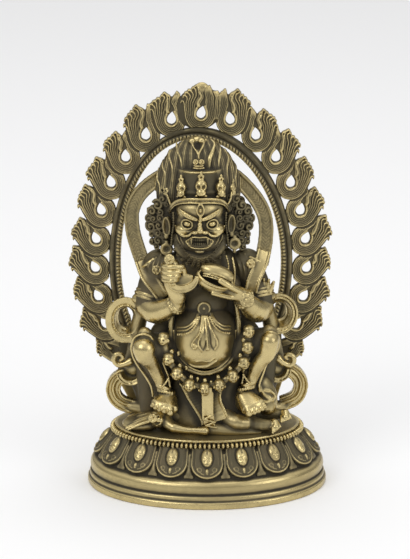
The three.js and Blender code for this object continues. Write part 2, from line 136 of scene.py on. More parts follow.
def egg_distance(offsets, radii):
    """The distance to the skin of an egg or an oval, from the offsets to its middle."""
    outer = np.sqrt(sum((offset / radius) ** 2 for offset, radius in zip(offsets, radii)))
    slope = np.sqrt(sum((offset / radius ** 2) ** 2 for offset, radius in zip(offsets, radii)))
    return outer * (outer - 1) / np.maximum(slope, TINY)


def edge_place(x, z, start, end):
    """How far along an edge each place is, from 0 to 1, and how far it lies from there."""
    edge = end - start
    dx, dz = x - start[0], z - start[1]
    along = np.clip((dx * edge[0] + dz * edge[1]) / max(edge @ edge, TINY), 0, 1)
    return along, dx - along * edge[0], dz - along * edge[1]


def polygon_distance(outline, x, z):
    """The distance to a closed outline, less than nought inside."""
    points = np.array(outline, float)
    best = np.full(np.broadcast_shapes(x.shape, z.shape), NOWHERE)
    odd = np.zeros(best.shape, bool)
    for start, end in zip(points, np.roll(points, -1, axis=0)):
        _, dx, dz = edge_place(x, z, start, end)
        best = np.minimum(best, dx ** 2 + dz ** 2)
        if start[1] != end[1]:
            crosses = (z >= min(start[1], end[1])) & (z < max(start[1], end[1]))
            odd ^= crosses & (x < start[0] + (z - start[1]) * (end[0] - start[0]) / (end[1] - start[1]))
    return np.where(odd, -1, 1) * np.sqrt(best)


def run_table(angles, speed):
    """How far along a curve each angle is, from the speed there."""
    return np.concatenate([[0], np.cumsum(0.5 * (speed[1:] + speed[:-1]) * np.diff(angles))])


# Clay

# How rubbed the skin is where nothing else is said, and the room left round a shape, in millimetres
EVEN_SHINE = 0.5
ROOM = 0.6
# From one bead's middle to the next, as a share of a bead's radius
BEAD_SPACING = 2.05
# A stretch that runs nearly straight at its face takes its sides from another face
HEAD_ON = 0.05
SPARE_FACE = (0.3, 0.0, 1.0)


class Clay:
    """A block of space that holds the distance to the skin, and how far the skin is rubbed bright."""

    def __init__(self, low, high, grain):
        self.low = np.array(low, np.float32)
        self.grain = np.ones(3, np.float32) * grain
        self.count = np.ceil((np.array(high) - self.low) / self.grain).astype(int) + 1
        self.axes = [
            self.low[axis] + self.grain[axis] * np.arange(self.count[axis], dtype=np.float32)
            for axis in range(3)
        ]
        self.field = np.full(self.count, FAR, np.float32)
        self.shine = np.full(self.count, EVEN_SHINE, np.float32)
        self.polish = EVEN_SHINE

    def window(self, low, high):
        """The slices and the open coordinate grids of the cells in a box."""
        first = np.clip(np.floor((low - self.low) / self.grain), 0, self.count - 1).astype(int)
        last = np.clip(np.ceil((high - self.low) / self.grain) + 1, 1, self.count).astype(int)
        cells = tuple(slice(a, b) for a, b in zip(first, last))
        x, y, z = (self.axes[axis][cells[axis]] for axis in range(3))
        return cells, (x[:, None, None], y[None, :, None], z[None, None, :])

    def lay(self, cells, distance, blend, carve):
        """Adds a shape to the clay in those cells, or carves it out."""
        old = self.field[cells]
        if carve:
            self.field[cells] = -smooth_min(-old, distance, blend)
            return
        shine = self.shine[cells]
        shine[np.broadcast_to(distance < old, old.shape)] = self.polish
        self.field[cells] = smooth_min(old, distance, blend)

    def egg(self, centre, radii, blend=0.5, turn=None, carve=False):
        """Adds an ellipsoid; the rows of turn are its own axes."""
        centre = np.array(centre, np.float32)
        radii = np.ones(3, np.float32) * radii
        reach = (radii if turn is None else radii.max()) + blend + ROOM
        cells, (x, y, z) = self.window(centre - reach, centre + reach)
        x, y, z = x - centre[0], y - centre[1], z - centre[2]
        if turn is not None:
            x, y, z = (row[0] * x + row[1] * y + row[2] * z for row in np.array(turn, np.float32))
        self.lay(cells, egg_distance((x, y, z), radii), blend, carve)

    def sweep(self, path, section, reach, blend=0.5, face=(0, -1, 0), carve=False):
        """Adds what section draws round a path of rows [x, y, z, size].

        section(run, side, out, over, size) gives a distance from how far along the path a cell
        is, how far to the side, how far towards the face, and how far past an end.
        """
        path = np.asarray(path, float)
        points = path[:, :3]
        sizes = path[:, 3] if path.shape[1] > 3 else np.ones(len(path))
        cells, grid = self.window(points.min(0) - reach, points.max(0) + reach)
        shape = np.broadcast_shapes(*(axis.shape for axis in grid))
        if 0 in shape:
            return
        nearest = np.full(shape, NOWHERE, np.float32)
        local = np.zeros((5,) + shape, np.float32)
        run = 0.0
        for i in range(len(points) - 1):
            start, end = points[i], points[i + 1]
            length = float(np.linalg.norm(end - start))
            if length < TINY:
                continue
            along = (end - start) / length
            side = np.cross(face, along)
            if np.linalg.norm(side) < HEAD_ON:
                side = np.cross(SPARE_FACE, along)
            side = unit_vector(side)
            out = np.cross(along, side)
            inner, _ = self.window(
                np.minimum(start, end) - reach, np.maximum(start, end) + reach)
            part = tuple(
                slice(max(a.start, b.start) - b.start, min(a.stop, b.stop) - b.start)
                for a, b in zip(inner, cells))
            x, y, z = (grid[axis][tuple(part[a] if a == axis else slice(None) for a in range(3))]
                       - start[axis] for axis in range(3))
            travel = along[0] * x + along[1] * y + along[2] * z
            share = np.clip(travel / length, 0, 1)
            over = travel - share * length
            sideways = side[0] * x + side[1] * y + side[2] * z
            outward = out[0] * x + out[1] * y + out[2] * z
            away = over ** 2 + sideways ** 2 + outward ** 2
            closer = away < nearest[part]
            nearest[part] = np.where(closer, away, nearest[part])
            size = sizes[i] + (sizes[i + 1] - sizes[i]) * share
            for row, value in enumerate((run + share * length, sideways, outward, over, size)):
                target = local[row][part]
                np.copyto(target, np.broadcast_to(value, target.shape), where=closer)
            run += length
        # Round a bend, a cell past the nearest stretch's end counts as further from the path
        bend = (local[0] > TINY) & (local[0] < run - TINY)
        flat = np.sqrt(local[1] ** 2 + local[2] ** 2) + TINY
        local[1:3] *= np.where(bend, np.sqrt(1 + (local[3] / flat) ** 2), 1)
        local[3] = np.where(bend, 0, local[3])
        distance = np.where(nearest < NOWHERE, section(*local), FAR)
        self.lay(cells, distance, blend, carve)

    def limb(self, stations, blend=0.5, flat=1.0, carve=False, spacing=1.5):
        """Adds a round limb through stations of [x, y, z, radius]; flat squeezes it front to back."""
        path = smooth_path(stations, spacing)
        reach = path[:, 3].max() * max(1.0, flat) + blend + 0.8

        def section(run, side, out, over, size):
            return np.sqrt(side ** 2 + (out / flat) ** 2 + over ** 2) - size

        self.sweep(path, section, reach, blend, carve=carve)

    def beads(self, stations, radius):
        """Adds a string of beads along a smooth curve."""
        def section(run, side, out, over, size):
            place = saw(run, BEAD_SPACING * radius)
            return np.sqrt(place ** 2 + side ** 2 + out ** 2 + over ** 2) - radius * size

        self.sweep(smooth_path(stations, radius), section, radius + ROOM, 0.15)

    def disc(self, centre, normal, radius, relief):
        """Adds a round plate; relief(distance out, angle) gives how thick it is from its middle."""
        centre = np.array(centre, float)
        across, rise, normal = frame_across(normal)
        reach = radius + 1.2
        cells, (x, y, z) = self.window(centre - reach, centre + reach)
        x, y, z = x - centre[0], y - centre[1], z - centre[2]
        a = across[0] * x + across[1] * y + across[2] * z
        b = rise[0] * x + rise[1] * y + rise[2] * z
        c = normal[0] * x + normal[1] * y + normal[2] * z
        out = np.sqrt(a * a + b * b)
        half_thick = relief(out, np.arctan2(b, a))
        distance = np.maximum(out - radius, (np.abs(c) - half_thick) * 0.8)
        self.lay(cells, distance, 0.2, False)

    def cut_below(self, level):
        """Carves away all that lies below a level."""
        self.field = np.maximum(self.field, level - self.axes[2])

    def blurred(self, radius):
        """The field averaged over a box that reaches so far each way, twice over."""
        result = np.clip(self.field, -FAR, FAR)
        for axis in range(3):
            span = max(1, int(round(radius / float(self.grain[axis]))))
            for _ in range(2):
                result = box_average(result, span, axis)
        return result

    def sample(self, values, points):
        """Values of a field at free points, in millimetres."""
        place = (points - self.low) / self.grain
        place = np.clip(place, 0, self.count - 1.001)
        cell = place.astype(int)
        part = (place - cell).astype(np.float32)
        total = np.zeros(len(points), np.float32)
        for corner in np.ndindex(2, 2, 2):
            weight = np.prod(np.where(corner, part, 1 - part), axis=1)
            total += weight * values[tuple((cell + corner).T)]
        return total


def box_average(values, span, axis):
    """A running mean of 2 * span + 1 cells along one axis."""
    pad = [(0, 0)] * 3
    pad[axis] = (span + 1, span)
    total = np.cumsum(np.pad(values, pad, mode="edge"), axis=axis, dtype=np.float64)
    width = 2 * span + 1
    ahead = [slice(None)] * 3
    behind = [slice(None)] * 3
    ahead[axis] = slice(width, None)
    behind[axis] = slice(None, -width)
    return ((total[tuple(ahead)] - total[tuple(behind)]) / width).astype(np.float32)


def skin(clay):
    """The corners and four-sided faces of the clay's surface, by naive surface nets."""
    field = clay.field
    inside = field < 0
    mixed = np.zeros(tuple(n - 1 for n in field.shape), np.int8)
    for corner in np.ndindex(2, 2, 2):
        mixed += inside[tuple(slice(1, None) if far else slice(None, -1) for far in corner)]
    # Each cell that the surface crosses has one corner, in the middle of its crossed edges
    cells = np.argwhere((mixed > 0) & (mixed < 8))
    number = np.full(mixed.shape, -1, np.int32)
    number[tuple(cells.T)] = np.arange(len(cells))
    total = np.zeros((len(cells), 3), np.float32)
    crossings = np.zeros(len(cells), np.float32)
    for axis in range(3):
        for step in np.ndindex(2, 2):
            near = np.insert(step, axis, 0)
            far = np.insert(step, axis, 1)
            a, b = (field[tuple((cells + corner).T)] for corner in (near, far))
            crossed = (a < 0) != (b < 0)
            place = np.tile(near.astype(np.float32), (len(cells), 1))
            place[:, axis] = np.where(crossed, a / np.where(crossed, a - b, 1), 0)
            total[crossed] += place[crossed]
            crossings[crossed] += 1
    corners = clay.low + clay.grain * (cells + total / crossings[:, None])
    # Each edge that the surface crosses has a face between the four cells round it
    faces = []
    for axis in range(3):
        low = [slice(1, -1)] * 3
        high = [slice(1, -1)] * 3
        low[axis], high[axis] = slice(None, -1), slice(1, None)
        a, b = inside[tuple(low)], inside[tuple(high)]
        edges = np.argwhere(a != b)
        outward = a[tuple(edges.T)]
        edges = edges + [int(other != axis) for other in range(3)]
        around = []
        for back in ((0, 0), (1, 0), (1, 1), (0, 1)):
            step = np.zeros(3, int)
            step[[(axis + 1) % 3, (axis + 2) % 3]] = back
            around.append(number[tuple((edges - step).T)])
        quads = np.stack(around, axis=1)
        faces.append(np.where(outward[:, None], quads, quads[:, ::-1]))
    return corners, np.vstack(faces)


# Meshes

def new_mesh(name, corners, faces):
    """A mesh from corners in millimetres and rows of four corner numbers."""
    mesh = bpy.data.meshes.new(name)
    mesh.vertices.add(len(corners))
    mesh.vertices.foreach_set("co", (corners * MM).astype(np.float32).ravel())
    mesh.loops.add(faces.size)
    mesh.loops.foreach_set("vertex_index", faces.astype(np.int32).ravel())
    mesh.polygons.add(len(faces))
    mesh.polygons.foreach_set("loop_start", np.arange(len(faces), dtype=np.int32) * faces.shape[1])
    mesh.update(calc_edges=True)
    mesh.validate()
    return mesh


def link(name, mesh):
    """A new object for a mesh, in the scene."""
    piece = bpy.data.objects.new(name, mesh)
    bpy.context.scene.collection.objects.link(piece)
    return piece


def thinned(piece, limit):
    """Brings a piece's triangles down to the limit where the form is flat."""
    count = 2 * len(piece.data.polygons)
    if count <= limit:
        return
    modifier = piece.modifiers.new("Thin", "DECIMATE")
    modifier.ratio = limit / count
    ready = piece.evaluated_get(bpy.context.evaluated_depsgraph_get())
    mesh = bpy.data.meshes.new_from_object(ready)
    old = piece.data
    piece.modifiers.clear()
    piece.data = mesh
    bpy.data.meshes.remove(old)


# How wide the clay is averaged to find its ridges and its nooks, and how deep a full one is
RIDGE_REACH, RIDGE_DEPTH = 0.8, 0.3
NOOK_REACH, NOOK_DEPTH = 2.6, 1.2
# The most triangles that a piece keeps
MOST_TRIANGLES = 190000
BASE_TRIANGLES = 150000
SCARF_TRIANGLES = 140000
LYING_TRIANGLES = 110000


def mark_wear(piece, clay):
    """Stores, at each corner, how proud it stands, how deep its nook is and how it is rubbed."""
    mesh = piece.data
    count = len(mesh.vertices)
    place = np.empty(count * 3, np.float32)
    mesh.vertices.foreach_get("co", place)
    points = place.reshape(-1, 3) / MM
    wear = {
        "ridge": clay.sample(clay.blurred(RIDGE_REACH), points) / RIDGE_DEPTH,
        # The nook's depth also darkens the brass as painted shade in recesses
        "nook": clay.sample(clay.blurred(NOOK_REACH), points) / NOOK_DEPTH,
        "shine": clay.sample(clay.shine, points),
    }
    for name, values in wear.items():
        attribute = mesh.attributes.new(name, "FLOAT", "POINT")
        attribute.data.foreach_set("value", np.clip(values, -1, 1).astype(np.float32))


def cast_piece(name, clay, node, material, limit=MOST_TRIANGLES):
    """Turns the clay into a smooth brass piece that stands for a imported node."""
    corners, faces = skin(clay)
    piece = link(name, new_mesh(name, corners, faces))
    thinned(piece, limit)
    mark_wear(piece, clay)
    piece.data.shade_smooth()
    piece.data.materials.append(material)
    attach(piece, BODY)
    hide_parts(node)


# Finishes

class Flow:
    """A shader socket that sums can be written with."""

    def __init__(self, bench, socket):
        self.bench = bench
        self.socket = socket

    def _sum(self, operation, first, second):
        return self.bench.node("ShaderNodeMath", {"operation": operation}, {0: first, 1: second})

    def __add__(self, other):
        return self._sum("ADD", self, other)

    __radd__ = __add__

    def __sub__(self, other):
        return self._sum("SUBTRACT", self, other)

    def __rsub__(self, other):
        return self._sum("SUBTRACT", other, self)

    def __mul__(self, other):
        return self._sum("MULTIPLY", self, other)

    __rmul__ = __mul__


class Bench:
    """Builds the nodes of a material or of the world."""

    def __init__(self, owner):
        owner.use_nodes = True
        self.owner = owner
        self.tree = owner.node_tree
        self.tree.nodes.clear()

    def node(self, kind, settings=None, inputs=None, output=0):
        """Adds a node with its settings and inputs, and gives back one of its outputs."""
        node = self.tree.nodes.new(kind)
        for key, value in (settings or {}).items():
            setattr(node, key, value)
        for key, value in (inputs or {}).items():
            if isinstance(value, Flow):
                self.tree.links.new(value.socket, node.inputs[key])
            else:
                node.inputs[key].default_value = value
        return Flow(self, node.outputs[output]) if node.outputs else None

    def range(self, value, low, high):
        """A value taken from low..high to a smooth 0..1."""
        return self.node("ShaderNodeMapRange", {"interpolation_type": "SMOOTHSTEP"},
                         {"Value": value, "From Min": low, "From Max": high})

    def blend(self, share, first, second):
        """A colour between two colours."""
        return self.node("ShaderNodeMix", {"data_type": "RGBA"}, {0: share, 6: first, 7: second}, 2)

    def noise(self, place, scale, detail):
        """Cloudy values about one half; scale counts clouds to a metre."""
        return self.node("ShaderNodeTexNoise", {}, {"Vector": place, "Scale": scale, "Detail": detail})

    def wear(self, name):
        """A value that is stored at the corners."""
        return self.node("ShaderNodeAttribute", {"attribute_name": name}, output=2)


def rgba(colour):
    """A colour with full alpha."""
    return (*colour, 1.0)


# How many clouds, mottles and grains there are to a metre
CLOUDS_TO_METRE = 55.0
MOTTLES_TO_METRE = 320.0
GRAINS_TO_METRE = 2600.0
# How rough and how metallic the patina is, and how deep the casting's fine grain is, in metres
DULL_ROUGHNESS = 0.56
DULL_METALLIC = 0.68
GRAIN_DEPTH = 0.00012
# How deep a nook starts to darken with dirt and painted shade and where it is full, and the strength of
# that darkening and of the warm clouds
DIRT_AND_SHADE_FROM, DIRT_AND_SHADE_FULL = -0.12, -0.85
DIRT_AND_SHADE_SHARE = 0.82
WARM_SHARE = 0.35


def brass_material(name, finish):
    """Cast brass: bright where it is rubbed, brown green where it isn't, nearly black in nooks with dirt
    and painted shade.
    """
    bench = Bench(bpy.data.materials.new(name))
    place = bench.node("ShaderNodeTexCoord", output=3)
    cloud = bench.noise(place, CLOUDS_TO_METRE, 4.0) - 0.5
    mottle = bench.noise(place, MOTTLES_TO_METRE, 5.0) - 0.5
    grain = bench.noise(place, GRAINS_TO_METRE, 3.0) - 0.5
    ridge, nook, shine = (bench.wear(word) for word in ("ridge", "nook", "shine"))
    high = ridge * finish.ridge_share + nook * finish.nook_share + shine * finish.shine_share
    high = high + cloud * 0.35 + mottle * 0.3 + grain * 0.12
    rubbed = bench.range(high, finish.dull_below, finish.bright_above)
    # Deep nooks darken towards near black: partly dirt, partly painted shade in recesses
    deep = bench.range(ridge * 0.6 + nook * 0.9 + mottle * 0.3, DIRT_AND_SHADE_FROM, DIRT_AND_SHADE_FULL)
    skin_colour = bench.blend(rubbed, rgba(finish.patina), rgba(finish.brass))
    warm = bench.range(cloud + mottle * 0.4, -0.1, 0.22)
    skin_colour = bench.blend(warm * WARM_SHARE, skin_colour, rgba(finish.warm))
    colour = bench.blend(deep * DIRT_AND_SHADE_SHARE, skin_colour, rgba(finish.dirt_and_shade))
    roughness = DULL_ROUGHNESS - rubbed * (DULL_ROUGHNESS - finish.bright_roughness)
    roughness = roughness + deep * 0.2 + mottle * 0.16
    metallic = DULL_METALLIC + rubbed * (1 - DULL_METALLIC) - deep * 0.3
    bump = bench.node("ShaderNodeBump", {}, {
        "Strength": finish.cast_grain, "Distance": GRAIN_DEPTH, "Height": mottle * 0.5 + grain})
    shader = bench.node("ShaderNodeBsdfPrincipled", {}, {
        "Base Color": colour, "Roughness": roughness, "Metallic": metallic, "Normal": bump})
    bench.node("ShaderNodeOutputMaterial", {}, {"Surface": shader})
    return bench.owner


def plain_material(name, colour, roughness):
    """An even, unpolished finish for the floor."""
    bench = Bench(bpy.data.materials.new(name))
    shader = bench.node("ShaderNodeBsdfPrincipled", {}, {
        "Base Color": rgba(colour), "Roughness": roughness})
    bench.node("ShaderNodeOutputMaterial", {}, {"Surface": shader})
    return bench.owner


# Settings

def share(label, text, default, high=1.0, low=0.0):
    """A plain number that a user can set."""
    return bpy.props.FloatProperty(name=label, description=text, default=default, min=low, max=high)


def length(label, text, millimetres):
    """A length that a user can set, kept in metres."""
    return bpy.props.FloatProperty(
        name=label, description=text, default=millimetres * MM, min=0.0, unit="LENGTH")


def paint(label, text, default):
    """A colour that a user can set."""
    return bpy.props.FloatVectorProperty(
        name=label, description=text, default=default, min=0.0, max=1.0, size=3, subtype="COLOR")


class BrassFinish(bpy.types.PropertyGroup):
    """Colours of the figure's and the base's brass."""
    brass: paint("Brass", "Where it is rubbed bright", (0.6, 0.487, 0.235))
    patina: paint("Patina", "Where it isn't rubbed", (0.098, 0.083, 0.047))
    warm: paint("Warm cloud", "Redder clouds in the patina", (0.15, 0.113, 0.062))
    # Painted shade as well as dirt: the colour that the deepest nooks darken to
    dirt_and_shade: paint("Dirt and shade", "In the deepest nooks", (0.032, 0.027, 0.017))
    bright_roughness: share("Bright roughness", "How rough the rubbed brass is", 0.27)
    dull_below: share("Dull below", "Wear below this keeps its patina", 0.08, low=-1.0)
    bright_above: share("Bright above", "Wear above this is bright", 0.85)
    ridge_share: share("Ridges", "How much standing proud counts", 0.5)
    nook_share: share("Nooks", "How much a deep nook counts", 0.35)
    shine_share: share("Rubbing", "How much a piece's own polish counts", 0.6)
    cast_grain: share("Cast grain", "Strength of the casting's fine grain", 0.35)


class BaseSizes(bpy.types.PropertyGroup):
    """Sizes of the lotus base."""
    petals: bpy.props.IntProperty(name="Petals", description="Petals round the base", default=16)
    beads: bpy.props.IntProperty(name="Beads", description="Beads round the deck", default=116)
    petal_length: length("Petal length", "From the beads to the petal's tip", 15.2)
    petal_half_width: length("Petal half width", "Half of a petal's widest place", 8.3)
    grain: length("Grain", "Distance between the clay's cells", 0.4)


class AureoleSizes(bpy.types.PropertyGroup):
    """Sizes of the flame aureole."""
    flames_per_side: bpy.props.IntProperty(
        name="Flames", description="Pierced flames on each side of the top one", default=9)
    strand_pitch: length("Strand pitch", "From one flame strand to the next", 0.88)
    strand_relief: length("Strand relief", "How far a strand stands out", 0.75)
    grain: length("Grain", "Distance between the clay's cells", 0.27)


# Lotus base

# The deck's edge and the oval half way down the petals, as half axes
DECK_HALF = np.array([47.5, 31.5])
PETAL_REACH = 10.6
OVAL_HALF = DECK_HALF + PETAL_REACH / 2
OVAL_SAMPLES = 1440
PLACES_AT_ONCE = 4096
# The petals' slope, as [outside the deck's edge, height] at its top and at its foot
SLOPE_TOP = np.array([0.6, 27.2])
SLOPE_FOOT = np.array([9.4, 13.4])
PETAL_BAND = (12.4, 28.4)
BEAD_LEVEL = DECK - 2.4
BASE_MARGIN = 1.6
TABLE_STEP = 0.1


def oval_map(x, y):
    """How far each place lies outside the deck's edge, and its share of the way round from the front."""
    angle = -pi / 2 + FULL_TURN * np.arange(OVAL_SAMPLES) / OVAL_SAMPLES
    points = np.stack([OVAL_HALF[0] * np.cos(angle), OVAL_HALF[1] * np.sin(angle)], axis=1)
    ahead = np.roll(points, -1, axis=0)
    lengths = np.linalg.norm(ahead - points, axis=1)
    total = lengths.sum()
    run = np.concatenate([[0], np.cumsum(lengths)[:-1]])
    tangents = ahead - np.roll(points, 1, axis=0)
    tangents /= np.linalg.norm(tangents, axis=1)[:, None]
    px, py = (grid.ravel() for grid in np.meshgrid(x, y, indexing="ij"))
    offset = np.empty(len(px))
    turn = np.empty(len(px))
    for start in range(0, len(px), PLACES_AT_ONCE):
        part = slice(start, start + PLACES_AT_ONCE)
        dx = px[part, None] - points[:, 0]
        dy = py[part, None] - points[:, 1]
        nearest = np.argmin(dx * dx + dy * dy, axis=1)
        rows = np.arange(len(nearest))
        dx, dy, tangent = dx[rows, nearest], dy[rows, nearest], tangents[nearest]
        offset[part] = dx * tangent[:, 1] - dy * tangent[:, 0] + PETAL_REACH / 2
        turn[part] = (run[nearest] + dx * tangent[:, 0] + dy * tangent[:, 1]) / total
    shape = (len(x), len(y))
    return offset.reshape(shape), turn.reshape(shape), total


def base_profile():
    """The base's outline as [outside the deck's edge, height], from its middle round to the deck."""
    middle = -DECK_HALF[1]
    return [
        [middle, 0], [13, 0], [13.3, 0.5], [13.3, 2.8], [12.9, 3.4], [12.4, 3.6], [12.2, 3.9],
        [12.4, 4.8], [12.3, 5.8], [11.8, 6.4], [11.2, 6.6], [11.2, 7], [11.7, 8.1], [11.9, 9.7],
        [11.7, 11.3], [11.1, 12.6], [10.2, 13.3], [9, 13.8], [7.9, 14.3], [7.2, 15.4],
        [4.2, 20.6], [1, 24.6], [-1.3, 27], [-1.6, DECK - 1.4], [-0.9, DECK - 1],
        [-0.7, DECK - 0.2], [-1.1, DECK + 0.25], [-1.6, DECK + 0.25], [-2.1, DECK],
        [middle, DECK],
    ]


def profile_field(offset, z):
    """The distance to the base's outline, carried round the oval."""
    low = np.array([-DECK_HALF[1], BASE_LOW[2] - BASE_MARGIN - TABLE_STEP])
    across = np.arange(low[0], 18, TABLE_STEP)
    up = np.arange(low[1], BASE_HIGH[2] + BASE_MARGIN + 2 * TABLE_STEP, TABLE_STEP)
    table = polygon_distance(base_profile(), across[:, None], up[None, :]).astype(np.float32)
    column = np.clip((offset - low[0]) / TABLE_STEP, 0, len(across) - 2)
    level = np.clip((z - low[1]) / TABLE_STEP, 0, len(up) - 2)
    column_cell, level_cell = column.astype(int), level.astype(int)
    column_part = (column - column_cell)[:, :, None].astype(np.float32)
    level_part = (level - level_cell)[None, None, :].astype(np.float32)
    left, right = (rows[:, :, level_cell] * (1 - level_part) + rows[:, :, level_cell + 1] * level_part
                   for rows in (table[column_cell], table[column_cell + 1]))
    return (left * (1 - column_part) + right * column_part).astype(np.float32)


def crowned(distance):
    """A smooth dome that is one at its middle and nought where the distance reaches one."""
    return np.sqrt(np.clip(1 - distance ** 2, 0, 1))


def petal_distance(sizes, across, slope, height, pitch):
    """One petal, with its rim, its boss and its curls, and the trumpet between two petals."""
    half = sizes.petal_half_width / MM
    tip = sizes.petal_length / MM
    round_from = 0.5 * tip
    side = np.abs(across)
    closing = np.maximum(slope - round_from, 0) / (tip - round_from)
    shrink = 1 - 0.04 * np.clip(slope / tip, 0, 1) - 0.14 * np.clip(1 - slope / round_from, 0, 1)
    outline = (np.sqrt((side / (half * shrink)) ** 2 + closing ** 2.3) - 1) * half
    crown = 1.0 * (1 - (side / half) ** 2) + 1.0 * (np.clip(slope / tip, 0, 1)) ** 2 - 0.4
    # The rim, the groove inside it and a thin second rim
    for depth, strength, width in ((-0.5, 0.5, 0.34), (-1.5, -0.3, 0.4), (-2.4, 0.16, 0.4)):
        crown = crown + strength * bump_at(outline, depth, width)
    # The boss, with two shallow curls low on it and a point under it
    boss = np.sqrt((across / 2.9) ** 2 + ((slope - 4.6) / 4.7) ** 2)
    boss_height = 1.6 * crowned(boss)
    curl_out = np.sqrt((side - 1.15) ** 2 + (slope - 6.2) ** 2)
    boss_height = boss_height - 0.4 * bump_at(curl_out, 0.75, 0.28) * (boss < 0.9)
    boss_height = boss_height - 0.35 * bump_at(across, 0, 0.3) * (slope < 4.2) * (boss < 0.85)
    boss_height = boss_height - 0.5 * bump_at(boss, 1.12, 0.1)
    crown = crown + boss_height
    crown = crown + 0.95 * crowned(np.sqrt((across / 0.95) ** 2 + ((slope - 11.6) / 1.7) ** 2))
    # A scroll on each side of the point, with its stem
    scroll_x, scroll_z = side - 3.9, slope - 10.9
    scroll = np.sqrt(scroll_x ** 2 + scroll_z ** 2)
    ring = bump_at(scroll, 1.1, 0.34) + bump_at(scroll, 0, 0.42)
    stem = bump_at(scroll_z + 0.45 * scroll_x, 1.5, 0.34) * (side > 1.4) * (side < 3.6)
    crown = crown + 0.42 * np.maximum(ring, stem)
    petal = np.maximum(outline, (height - crown) * 0.8)
    # The trumpet between two petals
    gap = 0.5 * pitch - side
    flare = 0.6 + 2.0 * np.clip((slope - 7) / 7.5, 0, 1) ** 2.0 + 0.4 * bump_at(slope, 13.6, 0.45)
    rounded = 0.5 * crowned(gap / np.maximum(flare, 0.1)) - 0.3
    trumpet_here = np.maximum(np.maximum(gap - flare, np.abs(slope - 8.6) - 6.3), height - rounded)
    # The leaf behind two petals, that shows beside the trumpet's stem
    leaf = np.maximum(np.maximum(gap - 4.2 + 0.1 * slope, np.abs(slope - 5) - 4),
                      height + 0.9 - 0.3 * bump_at(gap, 2.6, 0.5))
    return np.minimum(petal, np.minimum(trumpet_here, leaf))


def base_clay(sizes):
    """The whole lotus base."""
    clay = Clay(BASE_LOW - BASE_MARGIN, BASE_HIGH + BASE_MARGIN, sizes.grain / MM)
    x, y, z = clay.axes
    offset, turn, around = oval_map(x, y)
    clay.field = profile_field(offset, z)
    clay.shine[:] = 0.66
    near = np.argwhere((offset > -3.5) & (offset < 15.0))
    rows = (near[:, 0], near[:, 1])
    offset = offset[rows][:, None]
    turn = turn[rows][:, None]
    around = around + FULL_TURN * (offset - PETAL_REACH / 2)

    def levels(low, high):
        return slice(*(int((level - z[0]) / clay.grain[2]) for level in (low, high)))

    # Petals, on a slope that runs from the beads down to their tips
    down = unit_vector(SLOPE_FOOT - SLOPE_TOP)
    band = levels(*PETAL_BAND)
    aside, above = offset - SLOPE_TOP[0], z[band][None, :] - SLOPE_TOP[1]
    slope = aside * down[0] + above * down[1]
    height = aside * -down[1] + above * down[0]
    height = height - 0.9 * np.sin(np.clip(slope / 16.0, 0, 1) * pi)
    pitch = around / sizes.petals
    across = saw(turn * sizes.petals + 0.5, 1) * pitch
    petals = petal_distance(sizes, across, slope, height, pitch)
    petals = np.where(slope < -0.4, FAR, petals)
    field, shine = clay.field[:, :, band], clay.shine[:, :, band]
    wear = shine[rows]
    wear[np.broadcast_to(slope < 15.4, wear.shape)] = -0.05
    wear[(across / 3.1) ** 2 + ((slope - 4.6) / 5.0) ** 2 < 1] = 0.95
    field[rows] = smooth_min(field[rows], petals.astype(np.float32), 0.3)
    shine[rows] = wear
    # Beads under the deck
    band = levels(BEAD_LEVEL - 2.5, BEAD_LEVEL + 2.5)
    beside = saw(turn * sizes.beads, 1) * (around / sizes.beads)
    bead = np.sqrt((beside / 0.86) ** 2 + ((offset - 0.3) / 1.5) ** 2
                   + ((z[band][None, :] - BEAD_LEVEL) / 1.6) ** 2)
    bead = (bead - 1) * 1.15
    field, shine = clay.field[:, :, band], clay.shine[:, :, band]
    shine[rows] = np.where(bead < field[rows], 0.9, np.minimum(shine[rows], 0.3))
    field[rows] = smooth_min(field[rows], bead.astype(np.float32), 0.08)
    clay.shine[:, :, z > DECK - 0.8] = 0.45
    return clay


# Flame aureole

ARCH_CENTRE = np.array([-3.1, DECK + 79.5])
ARCH_INNER = np.array([40.4, 63.8])
BAND_WIDTH = 5.9
FLAME_OFFSET = 7.5
FLAME_SPAN = 0.7315
FLAME_TILT = radians(5)
# The pitch that a flame's rows are drawn for, and how much smaller the lowest flame is
DRAWN_PITCH = 15.2
LOWEST_SCALE = 0.78
# A strand's radius as a share of the strands' pitch
STRAND_FULLNESS = 0.56
# Where the arch meets its legs, as shares of its half axes, and where the legs stand
SPRING_DOWN, SPRING_OUT = 0.485, 0.8746
LEGS_MIDDLE, LEG_AWAY = -1.5, 31.0
STRIP_BEAD_PITCH = 1.85
FRONT_THICKNESS, BACK_THICKNESS = 1.4, 1.5
ARCH_LEAN = 2.6
AUREOLE_MIDDLE = 0.5 * float(AUREOLE_LOW[1] + AUREOLE_HIGH[1])
# The room round a plate, how far its groove reaches and how dark it is
PLATE_MARGIN = 3.0
PLATE_GROOVE = 0.35
PLATE_SHINE = -0.8
STRAND_SHINE = 0.1
# How far the leaf over the drop and the drop's rim stand out
LEAF_RELIEF = 0.95
ARCH_SAMPLES = 721
FLAME_LINE_SAMPLES = 2000


def oval_distance(x, z, half, lean):
    """The distance to the arch's oval, whose top leans to the left."""
    up = np.clip((z - ARCH_CENTRE[1]) / half[1], 0, 1)
    return egg_distance((x - ARCH_CENTRE[0] + lean * up ** 2, z - ARCH_CENTRE[1]), half)


def oval_run(x, z, half):
    """How far along the oval each place is, in millimetres."""
    angle = np.arctan2((z - ARCH_CENTRE[1]) / half[1], (x - ARCH_CENTRE[0]) / half[0])
    table = np.linspace(-pi, pi, ARCH_SAMPLES)
    speed = np.hypot(half[0] * np.sin(table), half[1] * np.cos(table))
    return np.interp(angle, table, run_table(table, speed))


